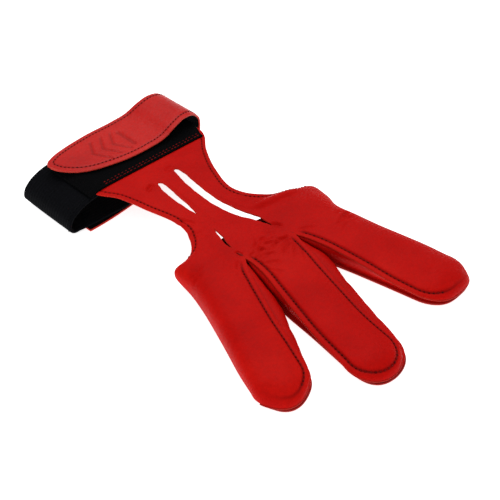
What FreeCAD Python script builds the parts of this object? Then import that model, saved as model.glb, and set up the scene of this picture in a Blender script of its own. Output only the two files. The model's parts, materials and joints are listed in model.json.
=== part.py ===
import FreeCAD, Part
import Sketcher
import math
import os

# A three-finger archery shooting glove lying palm down: red leather finger stalls for the index, middle and
# ring fingers, a slotted leather web over the back of the hand, and a wrist cuff of black elastic closed by
# a leather strap with a hook patch over a loop patch.
# Frame: +Y from the wrist to the fingertips, +X towards the ring finger, +Z up from the surface it lies on.
# The origin is at the middle of the glove's bounding box, on that surface.

# Driving dimensions in millimetres and degrees: alias, value, meaning.
DIMENSIONS = [
    ("leather", 1.2, "thickness of the red leather"),
    ("lining", 0.6, "thickness of the black lining"),
    ("webbing", 1.8, "thickness of the black elastic"),
    ("pile", 1.0, "thickness of the loop patch"),
    ("hooks", 0.8, "thickness of the hook patch"),
    ("thread", 0.35, "radius of the sewing thread"),
    ("fold_gap", 0.3, "clearance between two bodies at a fold"),
    ("seat_gap", 0.1, "clearance between a wall and the sloped panel over it"),
    ("seam_inset", 2.6, "distance of a seam from the edge of its panel"),
    ("shift_x", 1.85, "X of the bounding box's middle before it is moved to the origin"),
    ("shift_y", -2.53, "Y of the bounding box's middle before it is moved to the origin"),
    # finger stalls
    ("stall_height", 12.5, "height of a finger stall up to its bend"),
    ("tip_drop", 3.2, "how much lower a stall is at its tip"),
    ("tip_round", 12.0, "depth of the rounded fingertip"),
    ("index_root_x", -31.0, "index stall's root, across"),
    ("index_root_y", 12.5, "index stall's root, along"),
    ("index_splay", -16.5, "index stall's angle from +Y towards +X"),
    ("index_root_half", 14.5, "index stall's half width at its root"),
    ("index_bend_half", 15.3, "index stall's half width at its bend"),
    ("index_tip_half", 13.0, "index stall's half width where the tip's round starts"),
    ("index_bend_at", 34.0, "index stall's bend from its root"),
    ("index_length", 71.5, "index stall's length"),
    ("middle_root_x", -1.0, "middle stall's root, across"),
    ("middle_root_y", 12.5, "middle stall's root, along"),
    ("middle_splay", 2.7, "middle stall's angle from +Y towards +X"),
    ("middle_root_half", 13.2, "middle stall's half width at its root"),
    ("middle_bend_half", 15.3, "middle stall's half width at its bend"),
    ("middle_tip_half", 13.4, "middle stall's half width where the tip's round starts"),
    ("middle_bend_at", 40.0, "middle stall's bend from its root"),
    ("middle_length", 86.0, "middle stall's length"),
    ("ring_root_x", 27.5, "ring stall's root, across"),
    ("ring_root_y", 12.5, "ring stall's root, along"),
    ("ring_splay", 13.0, "ring stall's angle from +Y towards +X"),
    ("ring_root_half", 13.8, "ring stall's half width at its root"),
    ("ring_bend_half", 15.3, "ring stall's half width at its bend"),
    ("ring_tip_half", 13.2, "ring stall's half width where the tip's round starts"),
    ("ring_bend_at", 36.0, "ring stall's bend from its root"),
    ("ring_length", 75.0, "ring stall's length"),
    # knuckles and palm
    ("knuckle_y", -5.0, "the knuckle fold, along"),
    ("knuckle_index_x", -46.5, "index edge of the knuckles at the fold"),
    ("knuckle_ring_x", 38.5, "ring edge of the knuckles at the fold"),
    ("palm_index_y", -8.5, "palm edge under the index side"),
    ("palm_ring_y", -1.2, "palm edge under the ring side"),
    ("lining_inset", 1.7, "how far the lining stays inside the palm's sides"),
    # web over the back of the hand
    ("web_index_x", -20.0, "index edge of the web at the wrist"),
    ("web_ring_x", 41.5, "ring edge of the web at the wrist"),
    ("web_index_y", -64.1, "wrist end of the index edge, along"),
    ("web_ring_y", -57.1, "wrist end of the ring edge, along"),
    ("waist_index_x", -9.0, "index edge of the web at its narrowest"),
    ("waist_index_y", -30.0, "narrowest place of the index edge"),
    ("waist_ring_x", 26.3, "ring edge of the web at its narrowest"),
    ("waist_ring_y", -16.0, "narrowest place of the ring edge"),
    ("flare_x", -24.0, "index edge where it turns out to the knuckles"),
    ("flare_y", -14.0, "where the index edge turns out, along"),
    ("flare_index_y", -11.5, "corner of the web under the index knuckle, along"),
    ("web_ring_bow", 2.0, "hollow of the ring edge"),
    ("flare_bow", 3.5, "hollow of the index edge where it turns out"),
    ("web_index_bow", 1.2, "hollow of the index edge"),
    ("slot_end_y", -8.4, "knuckle end of both slots"),
    ("slot_index_y", -51.0, "wrist end of the wide slot"),
    ("slot_ring_y", -47.0, "wrist end of the narrow slot"),
    ("slot_index_x", 4.5, "wide slot at the wrist, across"),
    ("slot_index_end_x", -3.5, "wide slot at the knuckles, across"),
    ("slot_ring_x", 18.6, "narrow slot at the wrist, across"),
    ("slot_ring_end_x", 14.2, "narrow slot at the knuckles, across"),
    ("slot_index_half", 2.0, "half width of the wide slot"),
    ("slot_ring_half", 1.4, "half width of the narrow slot"),
    # cuff, in its own frame: U round the wrist, V along the arm
    ("cuff_x", 14.5, "the cuff's middle, across"),
    ("cuff_y", -79.5, "the cuff's middle, along"),
    ("cuff_turn", 6.5, "the cuff's turn about +Z"),
    ("cuff_height", 18.4, "height of the cuff up to the loop patch"),
    ("cuff_distal", 17.8, "V of the cuff's edge towards the fingers"),
    ("cuff_proximal", -16.0, "V of the cuff back's edge towards the arm"),
    ("cuff_back_left", -36.0, "U of the cuff back's free edge"),
    ("elastic_join", 26.0, "U where the elastic is sewn to the cuff back"),
    ("elastic_turn", 38.8, "U where the elastic's round starts"),
    ("elastic_start", 14.0, "U where the elastic is sewn to the under strap"),
    ("elastic_width", 35.0, "width of the elastic"),
    ("elastic_mid", -1.5, "V of the elastic's middle"),
    ("patch_left", -33.5, "U of the loop patch's free end"),
    ("patch_right", 21.5, "U of the loop patch's elastic end"),
    ("patch_proximal", -13.5, "V of the loop patch's edge towards the arm"),
    ("strap_width", 30.0, "width of the strap"),
    ("strap_mid", -4.0, "V of the strap's middle"),
    ("strap_corner", -32.0, "U of both folds of the strap"),
    ("strap_round", 13.0, "radius of the strap's round side"),
    ("tab_slope_end", -19.0, "U where the tab comes down to the patch"),
    ("tab_end", 36.0, "U of the tab's free end"),
    ("tab_corner", 13.0, "radius of the tab's corners"),
    ("hook_left", -16.0, "U of the hook patch's first edge"),
    ("hook_right", 31.0, "U of the hook patch's last edge"),
    ("hook_width", 23.0, "width of the hook patch"),
    ("hook_corner", 8.0, "radius of the hook patch's corners"),
    ("patch_gap", 0.3, "standing clearance of the hooks over the loops"),
]
VALUES = {alias: value for alias, value, meaning in DIMENSIONS}
FINGERS = ("index", "middle", "ring")
VECTOR = FreeCAD.Vector
ACROSS, UP = VECTOR(1, 0, 0), VECTOR(0, 0, 1)


class Size:
    """A length worked out twice: as a number now, and as the text of an expression on the sheet."""

    def __init__(self, value, text):
        self.value, self.text = value, text

    def __add__(self, other):
        other = size(other)
        return Size(self.value + other.value, f"({self.text} + {other.text})")

    def __sub__(self, other):
        other = size(other)
        return Size(self.value - other.value, f"({self.text} - {other.text})")

    def __mul__(self, other):
        other = size(other)
        return Size(self.value * other.value, f"({self.text} * {other.text})")

    def __truediv__(self, other):
        other = size(other)
        return Size(self.value / other.value, f"({self.text} / {other.text})")

    def __neg__(self):
        return Size(-self.value, f"(0 - {self.text})")


def size(thing):
    """A Size from a Size, a sheet alias (with a minus sign in front for its negative) or a number."""
    if isinstance(thing, Size):
        return thing
    if isinstance(thing, str):
        if thing.startswith("-"):
            return -size(thing[1:])
        return Size(VALUES[thing], f"Dims.{thing}")
    return Size(float(thing), repr(float(thing)))


def root(square):
    """The square root of a Size."""
    return Size(math.sqrt(square.value), f"sqrt({square.text})")


def turned(angle_alias, call):
    """The sine or cosine of an angle on the sheet, which the expression is told is in degrees."""
    number = getattr(math, call)(math.radians(VALUES[angle_alias]))
    return Size(number, f"{call}(Dims.{angle_alias} * 1deg)")


def fill_sheet(doc):
    """The spreadsheet: a name, a value with an alias, and a meaning on each row."""
    sheet = doc.addObject("Spreadsheet::Sheet", "Dims")
    for row, (alias, value, meaning) in enumerate(DIMENSIONS, start=1):
        sheet.set(f"A{row}", alias)
        sheet.set(f"B{row}", str(value))
        sheet.set(f"C{row}", meaning)
        sheet.setAlias(f"B{row}", alias)
    doc.recompute()


def place(x=0.0, y=0.0, z=0.0, axis=UP, degrees=0.0):
    """A placement that turns about an axis through its own origin and then moves."""
    return FreeCAD.Placement(VECTOR(x, y, z), FreeCAD.Rotation(axis, degrees))


def pin(sketch, geometry, end, direction, coordinate):
    """Holds one coordinate, 0 for X or 1 for Y, of a sketch edge's end (1, 2) or centre (3) at a Size."""
    if abs(coordinate.value) < 1e-9:
        sketch.addConstraint(Sketcher.Constraint("PointOnObject", geometry, end, (-2, -1)[direction]))
        return
    forward = coordinate.value > 0
    length = coordinate if forward else -coordinate
    ends = (-1, 1, geometry, end) if forward else (geometry, end, -1, 1)
    kind = ("DistanceX", "DistanceY")[direction]
    number = sketch.addConstraint(Sketcher.Constraint(kind, *ends, length.value))
    sketch.setExpression(f"Constraints[{number}]", length.text)


def draw_loop(sketch, points, bows):
    """One closed loop. bows maps a side's number to the height of its arc, positive to the right of travel."""
    corners = [VECTOR(x.value, y.value, 0) for x, y in points]
    first = sketch.GeometryCount
    for side, start in enumerate(corners):
        end = corners[(side + 1) % len(corners)]
        if side in bows:
            sketch.addGeometry(bowed_side(start, end, bows[side].value), False)
        else:
            sketch.addGeometry(Part.LineSegment(start, end), False)
    for side in range(len(corners)):
        after = (side + 1) % len(corners)
        leaves = 1 if side in bows and bows[side].value < 0 else 2
        meets = 2 if after in bows and bows[after].value < 0 else 1
        sketch.addConstraint(Sketcher.Constraint("Coincident", first + side, leaves, first + after, meets))
        for direction in (0, 1):
            pin(sketch, first + after, meets, direction, points[after][direction])
    for side, bow in bows.items():
        pin_centre(sketch, first + side, points[side], points[(side + 1) % len(points)], bow)


def pin_centre(sketch, geometry, start, end, bow):
    """Holds an arc's centre on its chord's middle line, by the coordinate that this line runs along most."""
    (x0, y0), (x1, y1) = start, end
    chord_x, chord_y = x1 - x0, y1 - y0
    square = chord_x * chord_x + chord_y * chord_y
    # how far the centre lies from the chord, towards the bow: half the bow less chord^2 / (8 bow)
    reach = bow / 2 - square / (bow * 8)
    if abs(chord_y.value) > abs(chord_x.value):
        pin(sketch, geometry, 3, 0, (x0 + x1) / 2 + chord_y / root(square) * reach)
    else:
        pin(sketch, geometry, 3, 1, (y0 + y1) / 2 - chord_x / root(square) * reach)


def bowed_side(start, end, bow):
    """The arc from start to end whose middle stands off the chord by bow, to the right if positive."""
    chord = end - start
    outward = VECTOR(chord.y, -chord.x, 0).normalize() * math.copysign(1, bow)
    radius = (chord.Length ** 2 / 4 + bow ** 2) / (2 * abs(bow))
    centre = (start + end) / 2 + outward * (abs(bow) - radius)
    # a sketch's arcs always run anticlockwise
    ends = (start, end) if bow > 0 else (end, start)
    first, last = [math.atan2((point - centre).y, (point - centre).x) for point in ends]
    return Part.ArcOfCircle(Part.Circle(centre, UP, radius), first, last if last > first else last + 2 * math.pi)


class Glove:
    """The document, and the sub-parts that are written to files."""

    def __init__(self):
        self.doc = FreeCAD.newDocument("shooting_glove")
        fill_sheet(self.doc)
        self.nodes = []
        self.home = place(-VALUES["shift_x"], -VALUES["shift_y"])

    def body(self, label, plane, loops, thickness, placement, both_ways):
        """A padded sketch: loops is a list of (points, bows) with sheet aliases, Sizes or numbers."""
        body = self.doc.addObject("PartDesign::Body", label)
        body.Label = label
        sketch = body.newObject("Sketcher::SketchObject", label + "_outline")
        origin_plane = [p for p in body.Origin.OriginFeatures if p.Role == plane][0]
        sketch.AttachmentSupport = [(origin_plane, "")]
        sketch.MapMode = "FlatFace"
        for points, bows in loops:
            sized = [(size(x), size(y)) for x, y in points]
            draw_loop(sketch, sized, {side: size(bow) for side, bow in bows.items()})
        pad = body.newObject("PartDesign::Pad", label + "_pad")
        pad.Profile = sketch
        pad.Midplane = both_ways
        pad.Length = size(thickness).value
        pad.setExpression("Length", size(thickness).text)
        body.Placement = self.home.multiply(placement)
        self.nodes.append(body)
        return body

    def panel(self, label, loops, thickness, placement):
        """A flat panel drawn in plan and padded upwards."""
        return self.body(label, "XY_Plane", loops, thickness, placement, False)

    def profile(self, label, loops, width, placement):
        """A piece drawn in its upright section and padded to both sides of it."""
        return self.body(label, "XZ_Plane", loops, width, placement, True)

    def round_corners(self, body, radius, x):
        """Rounds the upright edges of a body that stand at the given local x."""
        self.doc.recompute()
        solid = body.Tip.Shape
        upright = []
        for number, edge in enumerate(solid.Edges, start=1):
            ends = [vertex.Point for vertex in edge.Vertexes]
            flat = len(ends) == 2 and (ends[0] - ends[1]).cross(UP).Length < 1e-6
            if flat and all(abs(end.x - x) < 1e-6 for end in ends):
                upright.append(f"Edge{number}")
        fillet = body.newObject("PartDesign::Fillet", body.Label + "_corners")
        fillet.Base = (body.Tip if fillet is not body.Tip else body.Group[-2], upright)
        fillet.Radius = size(radius).value
        fillet.setExpression("Radius", size(radius).text)
        body.Tip = fillet

    def threads(self, label, runs, placement):
        """Runs of sewing thread lying on a surface: each a cylinder between two points, trimmed at its ends."""
        pieces = []
        for number, (start, end) in enumerate(runs):
            start, end = VECTOR(*start), VECTOR(*end)
            along = (end - start).normalize()
            start, end = start + along * THREAD_TRIM, end - along * THREAD_TRIM
            cylinder = self.doc.addObject("Part::Cylinder", f"{label}_run{number}")
            cylinder.Height = (end - start).Length
            cylinder.setExpression("Radius", "Dims.thread")
            cylinder.Placement = FreeCAD.Placement(start, FreeCAD.Rotation(UP, along))
            pieces.append(cylinder)
        group = self.doc.addObject("Part::Compound", label)
        group.Label = label
        group.Links = pieces
        group.Placement = self.home.multiply(placement)
        self.nodes.append(group)

    def write(self):
        """Stops on a failed object or an unsound shape, then writes one file for each sub-part."""
        self.doc.recompute()
        for thing in self.doc.Objects:
            if "Invalid" in thing.State or "Error" in thing.State:
                raise RuntimeError(f"{thing.Label} failed: {thing.State}")
        os.makedirs("parts", exist_ok=True)
        whole = FreeCAD.BoundBox()
        for node in self.nodes:
            if node.Shape.isNull() or not node.Shape.isValid() or not node.Shape.Solids:
                raise RuntimeError(f"{node.Label} has no sound shape")
            whole.add(node.Shape.BoundBox)
            node.Shape.exportStep(f"parts/{node.Label}.step")
        print(len(self.nodes), "nodes, bounding box middle", whole.Center, "sizes", whole.XLength,
              whole.YLength, whole.ZLength)


# How much of a thread run is left out at each end, so that runs that meet don't overlap.
THREAD_TRIM = 0.6
# Height of a thread run's middle over the face it lies on.
ON_FACE = VALUES["thread"] + 0.02


def finger_sizes(finger):
    """The Sizes of one finger stall by short name."""
    keys = ("root_x", "root_y", "root_half", "bend_half", "tip_half", "bend_at", "length")
    return {key: size(f"{finger}_{key}") for key in keys}


def finger_frame(finger):
    """The stall's own frame: origin at its root on the surface, +Y towards its tip."""
    return place(VALUES[f"{finger}_root_x"], VALUES[f"{finger}_root_y"], 0, UP, -VALUES[f"{finger}_splay"])


def root_corner(finger, side):
    """A corner of the stall's root in the glove's frame, side -1 or 1, as two Sizes."""
    stall = finger_sizes(finger)
    across = stall["root_half"] * side
    x = stall["root_x"] + across * turned(f"{finger}_splay", "cos")
    y = stall["root_y"] - across * turned(f"{finger}_splay", "sin")
    return x, y


def wall(glove, label, frame, start, end, low, high_start, high_end):
    """A side wall that stands on the line between two plan points of a frame."""
    run_x, run_y = end[0] - start[0], end[1] - start[1]
    run = root(run_x * run_x + run_y * run_y)
    turn = math.degrees(math.atan2(run_y.value, run_x.value))
    outline = [(0, low), (run, low), (run, high_end), (0, high_start)]
    spot = place(start[0].value, start[1].value, 0, UP, turn)
    glove.profile(label, [(outline, {})], "leather", frame.multiply(spot))


def make_stall_base(glove, finger):
    """The part of a finger stall between the knuckles and its bend: back, palm side and two walls."""
    stall, frame = finger_sizes(finger), finger_frame(finger)
    last = stall["bend_at"] - size("fold_gap") / 2
    plan = [(-stall["root_half"], 0), (stall["root_half"], 0), (stall["bend_half"], last),
            (-stall["bend_half"], last)]
    back_z = VALUES["stall_height"] - VALUES["leather"]
    glove.panel(f"{finger}_back_base", [(plan, {})], "leather", frame.multiply(place(z=back_z)))
    glove.panel(f"{finger}_palm_base", [(plan, {})], "leather", frame)
    half_wall = size("leather") / 2
    under_back = size("stall_height") - size("leather")
    for side, name in side_names(finger):
        start = ((stall["root_half"] - half_wall) * side, size("fold_gap"))
        end = ((stall["bend_half"] - half_wall) * side, last - size("fold_gap"))
        wall(glove, f"{finger}_{name}_base", frame, start, end, size("leather"), under_back, under_back)


def side_names(finger):
    """The walls of a stall: a gusset where it faces another finger, and the wrapped back leather outside."""
    return {
        "index": ((-1, "outer_side"), (1, "gusset")),
        "middle": ((-1, "index_gusset"), (1, "ring_gusset")),
        "ring": ((-1, "gusset"), (1, "outer_side")),
    }[finger]


def tip_frame(finger):
    """The frame of a stall's end part: origin at its bend on the surface."""
    return finger_frame(finger).multiply(place(y=VALUES[f"{finger}_bend_at"]))


def tip_run(finger):
    """The length of a stall beyond its bend."""
    return size(f"{finger}_length") - size(f"{finger}_bend_at")


def tip_slope(finger):
    """How much the back of the stall's end falls, in degrees."""
    return math.degrees(math.atan2(VALUES["tip_drop"], tip_run(finger).value))


def make_stall_tip(glove, finger):
    """The part of a finger stall beyond its bend: sloping back, palm side, walls and rounded end."""
    stall, frame = finger_sizes(finger), tip_frame(finger)
    start_y, run = size("fold_gap") / 2, tip_run(finger)
    shoulder = run - size("tip_round")
    plan = [(-stall["bend_half"], start_y), (stall["bend_half"], start_y), (stall["tip_half"], shoulder),
            (-stall["tip_half"], shoulder)]
    bows = {2: "tip_round"}
    under_back = size("stall_height") - size("leather")
    tilt = place(z=under_back.value, axis=ACROSS, degrees=-tip_slope(finger))
    glove.panel(f"{finger}_back_tip", [(plan, bows)], "leather", frame.multiply(tilt))
    glove.panel(f"{finger}_palm_tip", [(plan, bows)], "leather", frame)

    half_wall, fall = size("leather") / 2, size("tip_drop") / run
    for side, name in side_names(finger):
        start = ((stall["bend_half"] - half_wall) * side, start_y + "fold_gap")
        end = ((stall["tip_half"] - half_wall) * side, shoulder - "fold_gap")
        high_start = under_back - fall * start[1] - "seat_gap"
        high_end = under_back - fall * end[1] - "seat_gap"
        wall(glove, f"{finger}_{name}_tip", frame, start, end, size("leather"), high_start, high_end)

    inner_half = stall["tip_half"] - "leather"
    inner_round = size("tip_round") - "leather"
    rim = [(stall["tip_half"], shoulder), (-stall["tip_half"], shoulder), (-inner_half, shoulder),
           (inner_half, shoulder)]
    rim_height = under_back - "tip_drop" - "leather" - "seat_gap"
    glove.panel(f"{finger}_tip_rim", [(rim, {0: "tip_round", 2: -inner_round})], rim_height,
                frame.multiply(place(z=VALUES["leather"])))


def seam_sides(finger):
    """The sides on which a stall's back is sewn to a gusset: the outer sides wrap round with no seam."""
    return [side for side, name in side_names(finger) if "gusset" in name]


def make_seams(glove):
    """The sewing thread along the finger seams, on the stall bases and on each fingertip."""
    inset, top = VALUES["seam_inset"], VALUES["stall_height"] + ON_FACE
    under_back = VALUES["stall_height"] - VALUES["leather"]
    base_runs = []
    for finger in FINGERS:
        stall, frame = finger_sizes(finger), finger_frame(finger)
        for side in seam_sides(finger):
            ends = [(side * (stall["root_half"].value - inset), 0, top),
                    (side * (stall["bend_half"].value - inset), stall["bend_at"].value, top)]
            base_runs.append([tuple(frame.multVec(VECTOR(*end))) for end in ends])
    glove.threads("stall_base_seam_threads", base_runs, place())

    on_back = VALUES["leather"] + ON_FACE
    for finger in FINGERS:
        stall = finger_sizes(finger)
        shoulder = tip_run(finger).value - VALUES["tip_round"]
        runs = []
        for side in seam_sides(finger):
            runs.append([(side * (stall["bend_half"].value - inset), size("fold_gap").value, on_back),
                         (side * (stall["tip_half"].value - inset), shoulder, on_back)])
        half, depth, steps = stall["tip_half"].value - inset, VALUES["tip_round"] - inset, 8
        angles = [math.pi * step / steps for step in range(steps + 1)]
        arc = [(half * math.cos(angle), shoulder + depth * math.sin(angle), on_back) for angle in angles]
        runs += list(zip(arc, arc[1:]))
        tilt = place(z=under_back, axis=ACROSS, degrees=-tip_slope(finger))
        glove.threads(f"{finger}_tip_seam_thread", runs, tip_frame(finger).multiply(tilt))


def knuckle_plan(near_index, near_ring, inset):
    """The knuckle region in plan, from its wrist edge to the roots of the three stalls."""
    index_x, ring_x = size("knuckle_index_x") + inset, size("knuckle_ring_x") - inset
    points = [(index_x, size(near_index)), (ring_x, size(near_ring))]
    for finger in reversed(FINGERS):
        for side in (1, -1):
            x, y = root_corner(finger, side)
            shy = {("ring", 1): -1, ("index", -1): 1}.get((finger, side), 0)
            points.append((x + size(inset) * shy, y - inset))
    return points


def make_knuckles(glove):
    """The leather over the knuckles, the short palm panel with its lining, and the wrapped outer sides."""
    under_back = size("stall_height") - size("leather")
    fold_edge = size("knuckle_y") + "fold_gap"
    back = knuckle_plan(fold_edge, fold_edge, size(0))
    glove.panel("knuckle_back", [(back, {})], "leather", place(z=under_back.value))
    palm = knuckle_plan("palm_index_y", "palm_ring_y", size(0))
    glove.panel("palm_panel", [(palm, {})], "leather", place())
    lining = knuckle_plan(size("palm_index_y") + "lining_inset", size("palm_ring_y") + "lining_inset",
                          size("lining_inset"))
    glove.panel("palm_lining", [(lining, {})], "lining", place(z=VALUES["leather"]))

    half_wall = size("leather") / 2
    for finger, edge_x, side in (("index", "knuckle_index_x", -1), ("ring", "knuckle_ring_x", 1)):
        corner_x, corner_y = root_corner(finger, side)
        start = (size(edge_x) - half_wall * side, fold_edge + "fold_gap")
        end = (corner_x - half_wall * side, corner_y - "fold_gap")
        wall(glove, f"{finger}_knuckle_side", place(), start, end, size("leather"), under_back, under_back)


def web_slot(half, wrist, knuckle):
    """A slot with round ends: half width, and its two end points."""
    (x0, y0), (x1, y1) = [(size(x), size(y)) for x, y in (wrist, knuckle)]
    half = size(half)
    corners = [(x0 - half, y0 + half), (x0 + half, y0 + half), (x1 + half, y1 - half), (x1 - half, y1 - half)]
    return corners, {0: half, 2: half}


def web_tilt():
    """The slope of the web from the knuckle fold up to the cuff, in degrees."""
    rise = VALUES["cuff_height"] - VALUES["stall_height"]
    run = VALUES["knuckle_y"] - (VALUES["web_index_y"] + VALUES["web_ring_y"]) / 2
    return math.degrees(math.atan2(rise, run))


def web_frame():
    """The web's frame: origin on the knuckle fold, under the leather, +Y down the slope to the fingers."""
    under_back = VALUES["stall_height"] - VALUES["leather"]
    return place(0, VALUES["knuckle_y"], under_back, ACROSS, -web_tilt())


def make_web(glove):
    """The web: one hourglass panel with two slots that leave three strips, sloping down to the knuckles."""
    fold_edge = size("knuckle_y") - "fold_gap"
    outline = [
        ("web_index_x", "web_index_y"), ("web_ring_x", "web_ring_y"), ("waist_ring_x", "waist_ring_y"),
        ("knuckle_ring_x", fold_edge), ("knuckle_index_x", fold_edge), ("knuckle_index_x", "flare_index_y"),
        ("flare_x", "flare_y"), ("waist_index_x", "waist_index_y"),
    ]
    bows = {1: "-web_ring_bow", 6: "-flare_bow", 7: "-web_index_bow"}
    slots = [
        web_slot("slot_index_half", ("slot_index_x", "slot_index_y"), ("slot_index_end_x", "slot_end_y")),
        web_slot("slot_ring_half", ("slot_ring_x", "slot_ring_y"), ("slot_ring_end_x", "slot_end_y")),
    ]
    loops = [(outline, bows)] + slots
    from_fold = [([(size(x), size(y) - "knuckle_y") for x, y in points], arcs) for points, arcs in loops]
    glove.panel("web_panel", from_fold, "leather", web_frame())

    inset, top = VALUES["seam_inset"], VALUES["leather"] + ON_FACE
    index_edge = [("web_index_x", "web_index_y"), ("waist_index_x", "waist_index_y"), ("flare_x", "flare_y"),
                  ("knuckle_index_x", "flare_index_y")]
    ring_edge = [("web_ring_x", "web_ring_y"), ("waist_ring_x", "waist_ring_y")]
    for label, edge, side in (("web_index_edge_thread", index_edge, 1), ("web_ring_edge_thread", ring_edge, -1)):
        points = [(VALUES[x] + side * inset, VALUES[y] + inset - VALUES["knuckle_y"], top) for x, y in edge]
        glove.threads(label, list(zip(points, points[1:])), web_frame())


def cuff_frame():
    """The cuff's own frame: +X is U, round the wrist, and +Y is V, along the arm."""
    return place(VALUES["cuff_x"], VALUES["cuff_y"], 0, UP, VALUES["cuff_turn"])


def oblong(left, right, near, far):
    """A rectangle as one loop."""
    return [([(left, near), (right, near), (right, far), (left, far)], {})]


def make_cuff(glove):
    """The fixed side of the cuff: elastic, cuff back with the loop patch, and the strap under the wrist."""
    frame, top = cuff_frame(), size("cuff_height")
    bend, web = top / 2, size("webbing")
    elastic = [("elastic_start", 0), ("elastic_turn", 0), ("elastic_turn", top), ("elastic_join", top),
               ("elastic_join", top - web), ("elastic_turn", top - web), ("elastic_turn", web),
               ("elastic_start", web)]
    mid = place(y=VALUES["elastic_mid"])
    glove.profile("wrist_elastic", [(elastic, {1: bend, 5: -(bend - web)})], "elastic_width",
                  frame.multiply(mid))
    back = oblong("cuff_back_left", "elastic_join", "cuff_proximal", "cuff_distal")
    back_z = top.value - VALUES["leather"]
    glove.panel("cuff_back_leather", back, "leather", frame.multiply(place(z=back_z)))
    patch = oblong("patch_left", "patch_right", "patch_proximal", "cuff_distal")
    glove.panel("loop_patch", patch, "pile", frame.multiply(place(z=top.value)))

    low, high = size("strap_mid") - size("strap_width") / 2, size("strap_mid") + size("strap_width") / 2
    start = size("strap_corner") + "fold_gap"
    glove.panel("under_strap_leather", oblong(start, "elastic_start", low, high), "leather", frame)
    lining = oblong(start, "elastic_start", low + "lining_inset", high - "lining_inset")
    glove.panel("under_strap_lining", lining, "lining", frame.multiply(place(z=VALUES["leather"])))

    inset = VALUES["seam_inset"]
    left, right = VALUES["patch_left"] + inset, VALUES["patch_right"] - inset
    far, height = VALUES["cuff_distal"] - inset / 2, top.value + VALUES["pile"] + ON_FACE
    # the seam along the edge towards the fingers, which lies clear of the hooks
    glove.threads("loop_patch_threads", [((left, far, height), (right, far, height))], frame)
    seam_u = VALUES["elastic_join"] + inset
    half = VALUES["elastic_width"] / 2 - inset
    rows = []
    for row in (0, 1):
        u, v = seam_u + row * inset, VALUES["elastic_mid"]
        rows.append([(u, v - half, top.value + ON_FACE), (u, v + half, top.value + ON_FACE)])
    glove.threads("elastic_threads", rows, frame)


def make_strap(glove):
    """The side of the cuff that opens: the strap's round side with its lining, and the tab with the hooks."""
    frame = cuff_frame().multiply(place(y=VALUES["strap_mid"]))
    for label, outside, thick in (("strap_side_leather", size(0), size("leather")),
                                  ("strap_side_lining", size("leather"), size("lining"))):
        radius, inside = size("strap_round") - outside, outside + thick
        top = size("strap_round") * 2
        ring = [("strap_corner", top - outside), ("strap_corner", outside), ("strap_corner", inside),
                ("strap_corner", top - inside)]
        width = size("strap_width") - outside
        glove.profile(label, [(ring, {0: radius, 2: -(radius - thick)})], width, frame)

    hook_z = size("cuff_height") + "pile" + "patch_gap"
    under = hook_z + "hooks"
    start, top = size("strap_corner") + "fold_gap", size("strap_round") * 2
    tab = [(start, top - "leather"), ("tab_slope_end", under), ("tab_end", under),
           ("tab_end", under + "leather"), ("tab_slope_end", under + "leather"), (start, top)]
    body = glove.profile("strap_tab_leather", [(tab, {})], "strap_width", frame)
    glove.round_corners(body, "tab_corner", VALUES["tab_end"])
    half = size("hook_width") / 2
    hooks = glove.panel("hook_patch", oblong("hook_left", "hook_right", -half, half), "hooks",
                        frame.multiply(place(z=hook_z.value)))
    glove.round_corners(hooks, "hook_corner", VALUES["hook_right"])

    edge = VALUES["strap_width"] / 2 - VALUES["seam_inset"]
    height = (under + "leather").value + ON_FACE
    turn_u, end_u = VALUES["tab_end"] - VALUES["tab_corner"], VALUES["tab_end"] - VALUES["seam_inset"]
    steps = 8
    bend = [(turn_u + (end_u - turn_u) * math.sin(math.pi * step / steps),
             -edge * math.cos(math.pi * step / steps), height) for step in range(steps + 1)]
    path = [(VALUES["tab_slope_end"], -edge, height)] + bend + [(VALUES["tab_slope_end"], edge, height)]
    glove.threads("tab_edge_thread", list(zip(path, path[1:])), frame)


def main():
    glove = Glove()
    make_cuff(glove)
    make_strap(glove)
    make_web(glove)
    make_knuckles(glove)
    for finger in FINGERS:
        make_stall_base(glove, finger)
        make_stall_tip(glove, finger)
    make_seams(glove)
    glove.write()


main()
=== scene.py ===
"""A right-hand three-finger archery glove of red leather, with a black elastic wrist and a hook strap.

Every leather piece is a sheet worked out on a grid: rows of spokes run from a crest line out to a cut edge.
Lengths are in millimetres until a mesh is made, and the hand frame's +Y points at the fingertips.
"""

import json
import math

import bpy
import numpy as np
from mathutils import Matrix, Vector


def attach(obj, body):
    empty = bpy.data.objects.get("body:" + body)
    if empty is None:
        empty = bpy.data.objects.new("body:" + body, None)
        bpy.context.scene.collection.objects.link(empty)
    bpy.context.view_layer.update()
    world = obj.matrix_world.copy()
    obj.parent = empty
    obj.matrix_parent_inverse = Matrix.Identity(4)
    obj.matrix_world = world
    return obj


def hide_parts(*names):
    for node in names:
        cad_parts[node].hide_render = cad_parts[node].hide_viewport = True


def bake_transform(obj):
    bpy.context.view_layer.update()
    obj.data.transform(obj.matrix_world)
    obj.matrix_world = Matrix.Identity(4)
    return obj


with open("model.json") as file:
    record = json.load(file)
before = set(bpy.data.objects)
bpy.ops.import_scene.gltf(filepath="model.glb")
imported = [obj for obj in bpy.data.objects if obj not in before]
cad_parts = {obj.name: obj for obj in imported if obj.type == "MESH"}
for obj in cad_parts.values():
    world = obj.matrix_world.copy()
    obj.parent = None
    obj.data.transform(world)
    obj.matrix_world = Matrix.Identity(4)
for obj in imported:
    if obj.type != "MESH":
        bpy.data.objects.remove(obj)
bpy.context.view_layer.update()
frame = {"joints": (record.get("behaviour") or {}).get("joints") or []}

MM = 0.001
LEATHER = 1.1
GUSSET_LEATHER = 0.8
LINING = 0.5
LIP = 2.3          # from the cut edge of an outside seam to its row of stitches
EDGE_ROUND = 0.7   # how far a cut edge bulges, as a share of a half round
UP = np.array([0.0, 0.0, 1.0])
FINGERS = ("index", "middle", "ring")


# ---------------------------------------------------------------- frames

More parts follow.
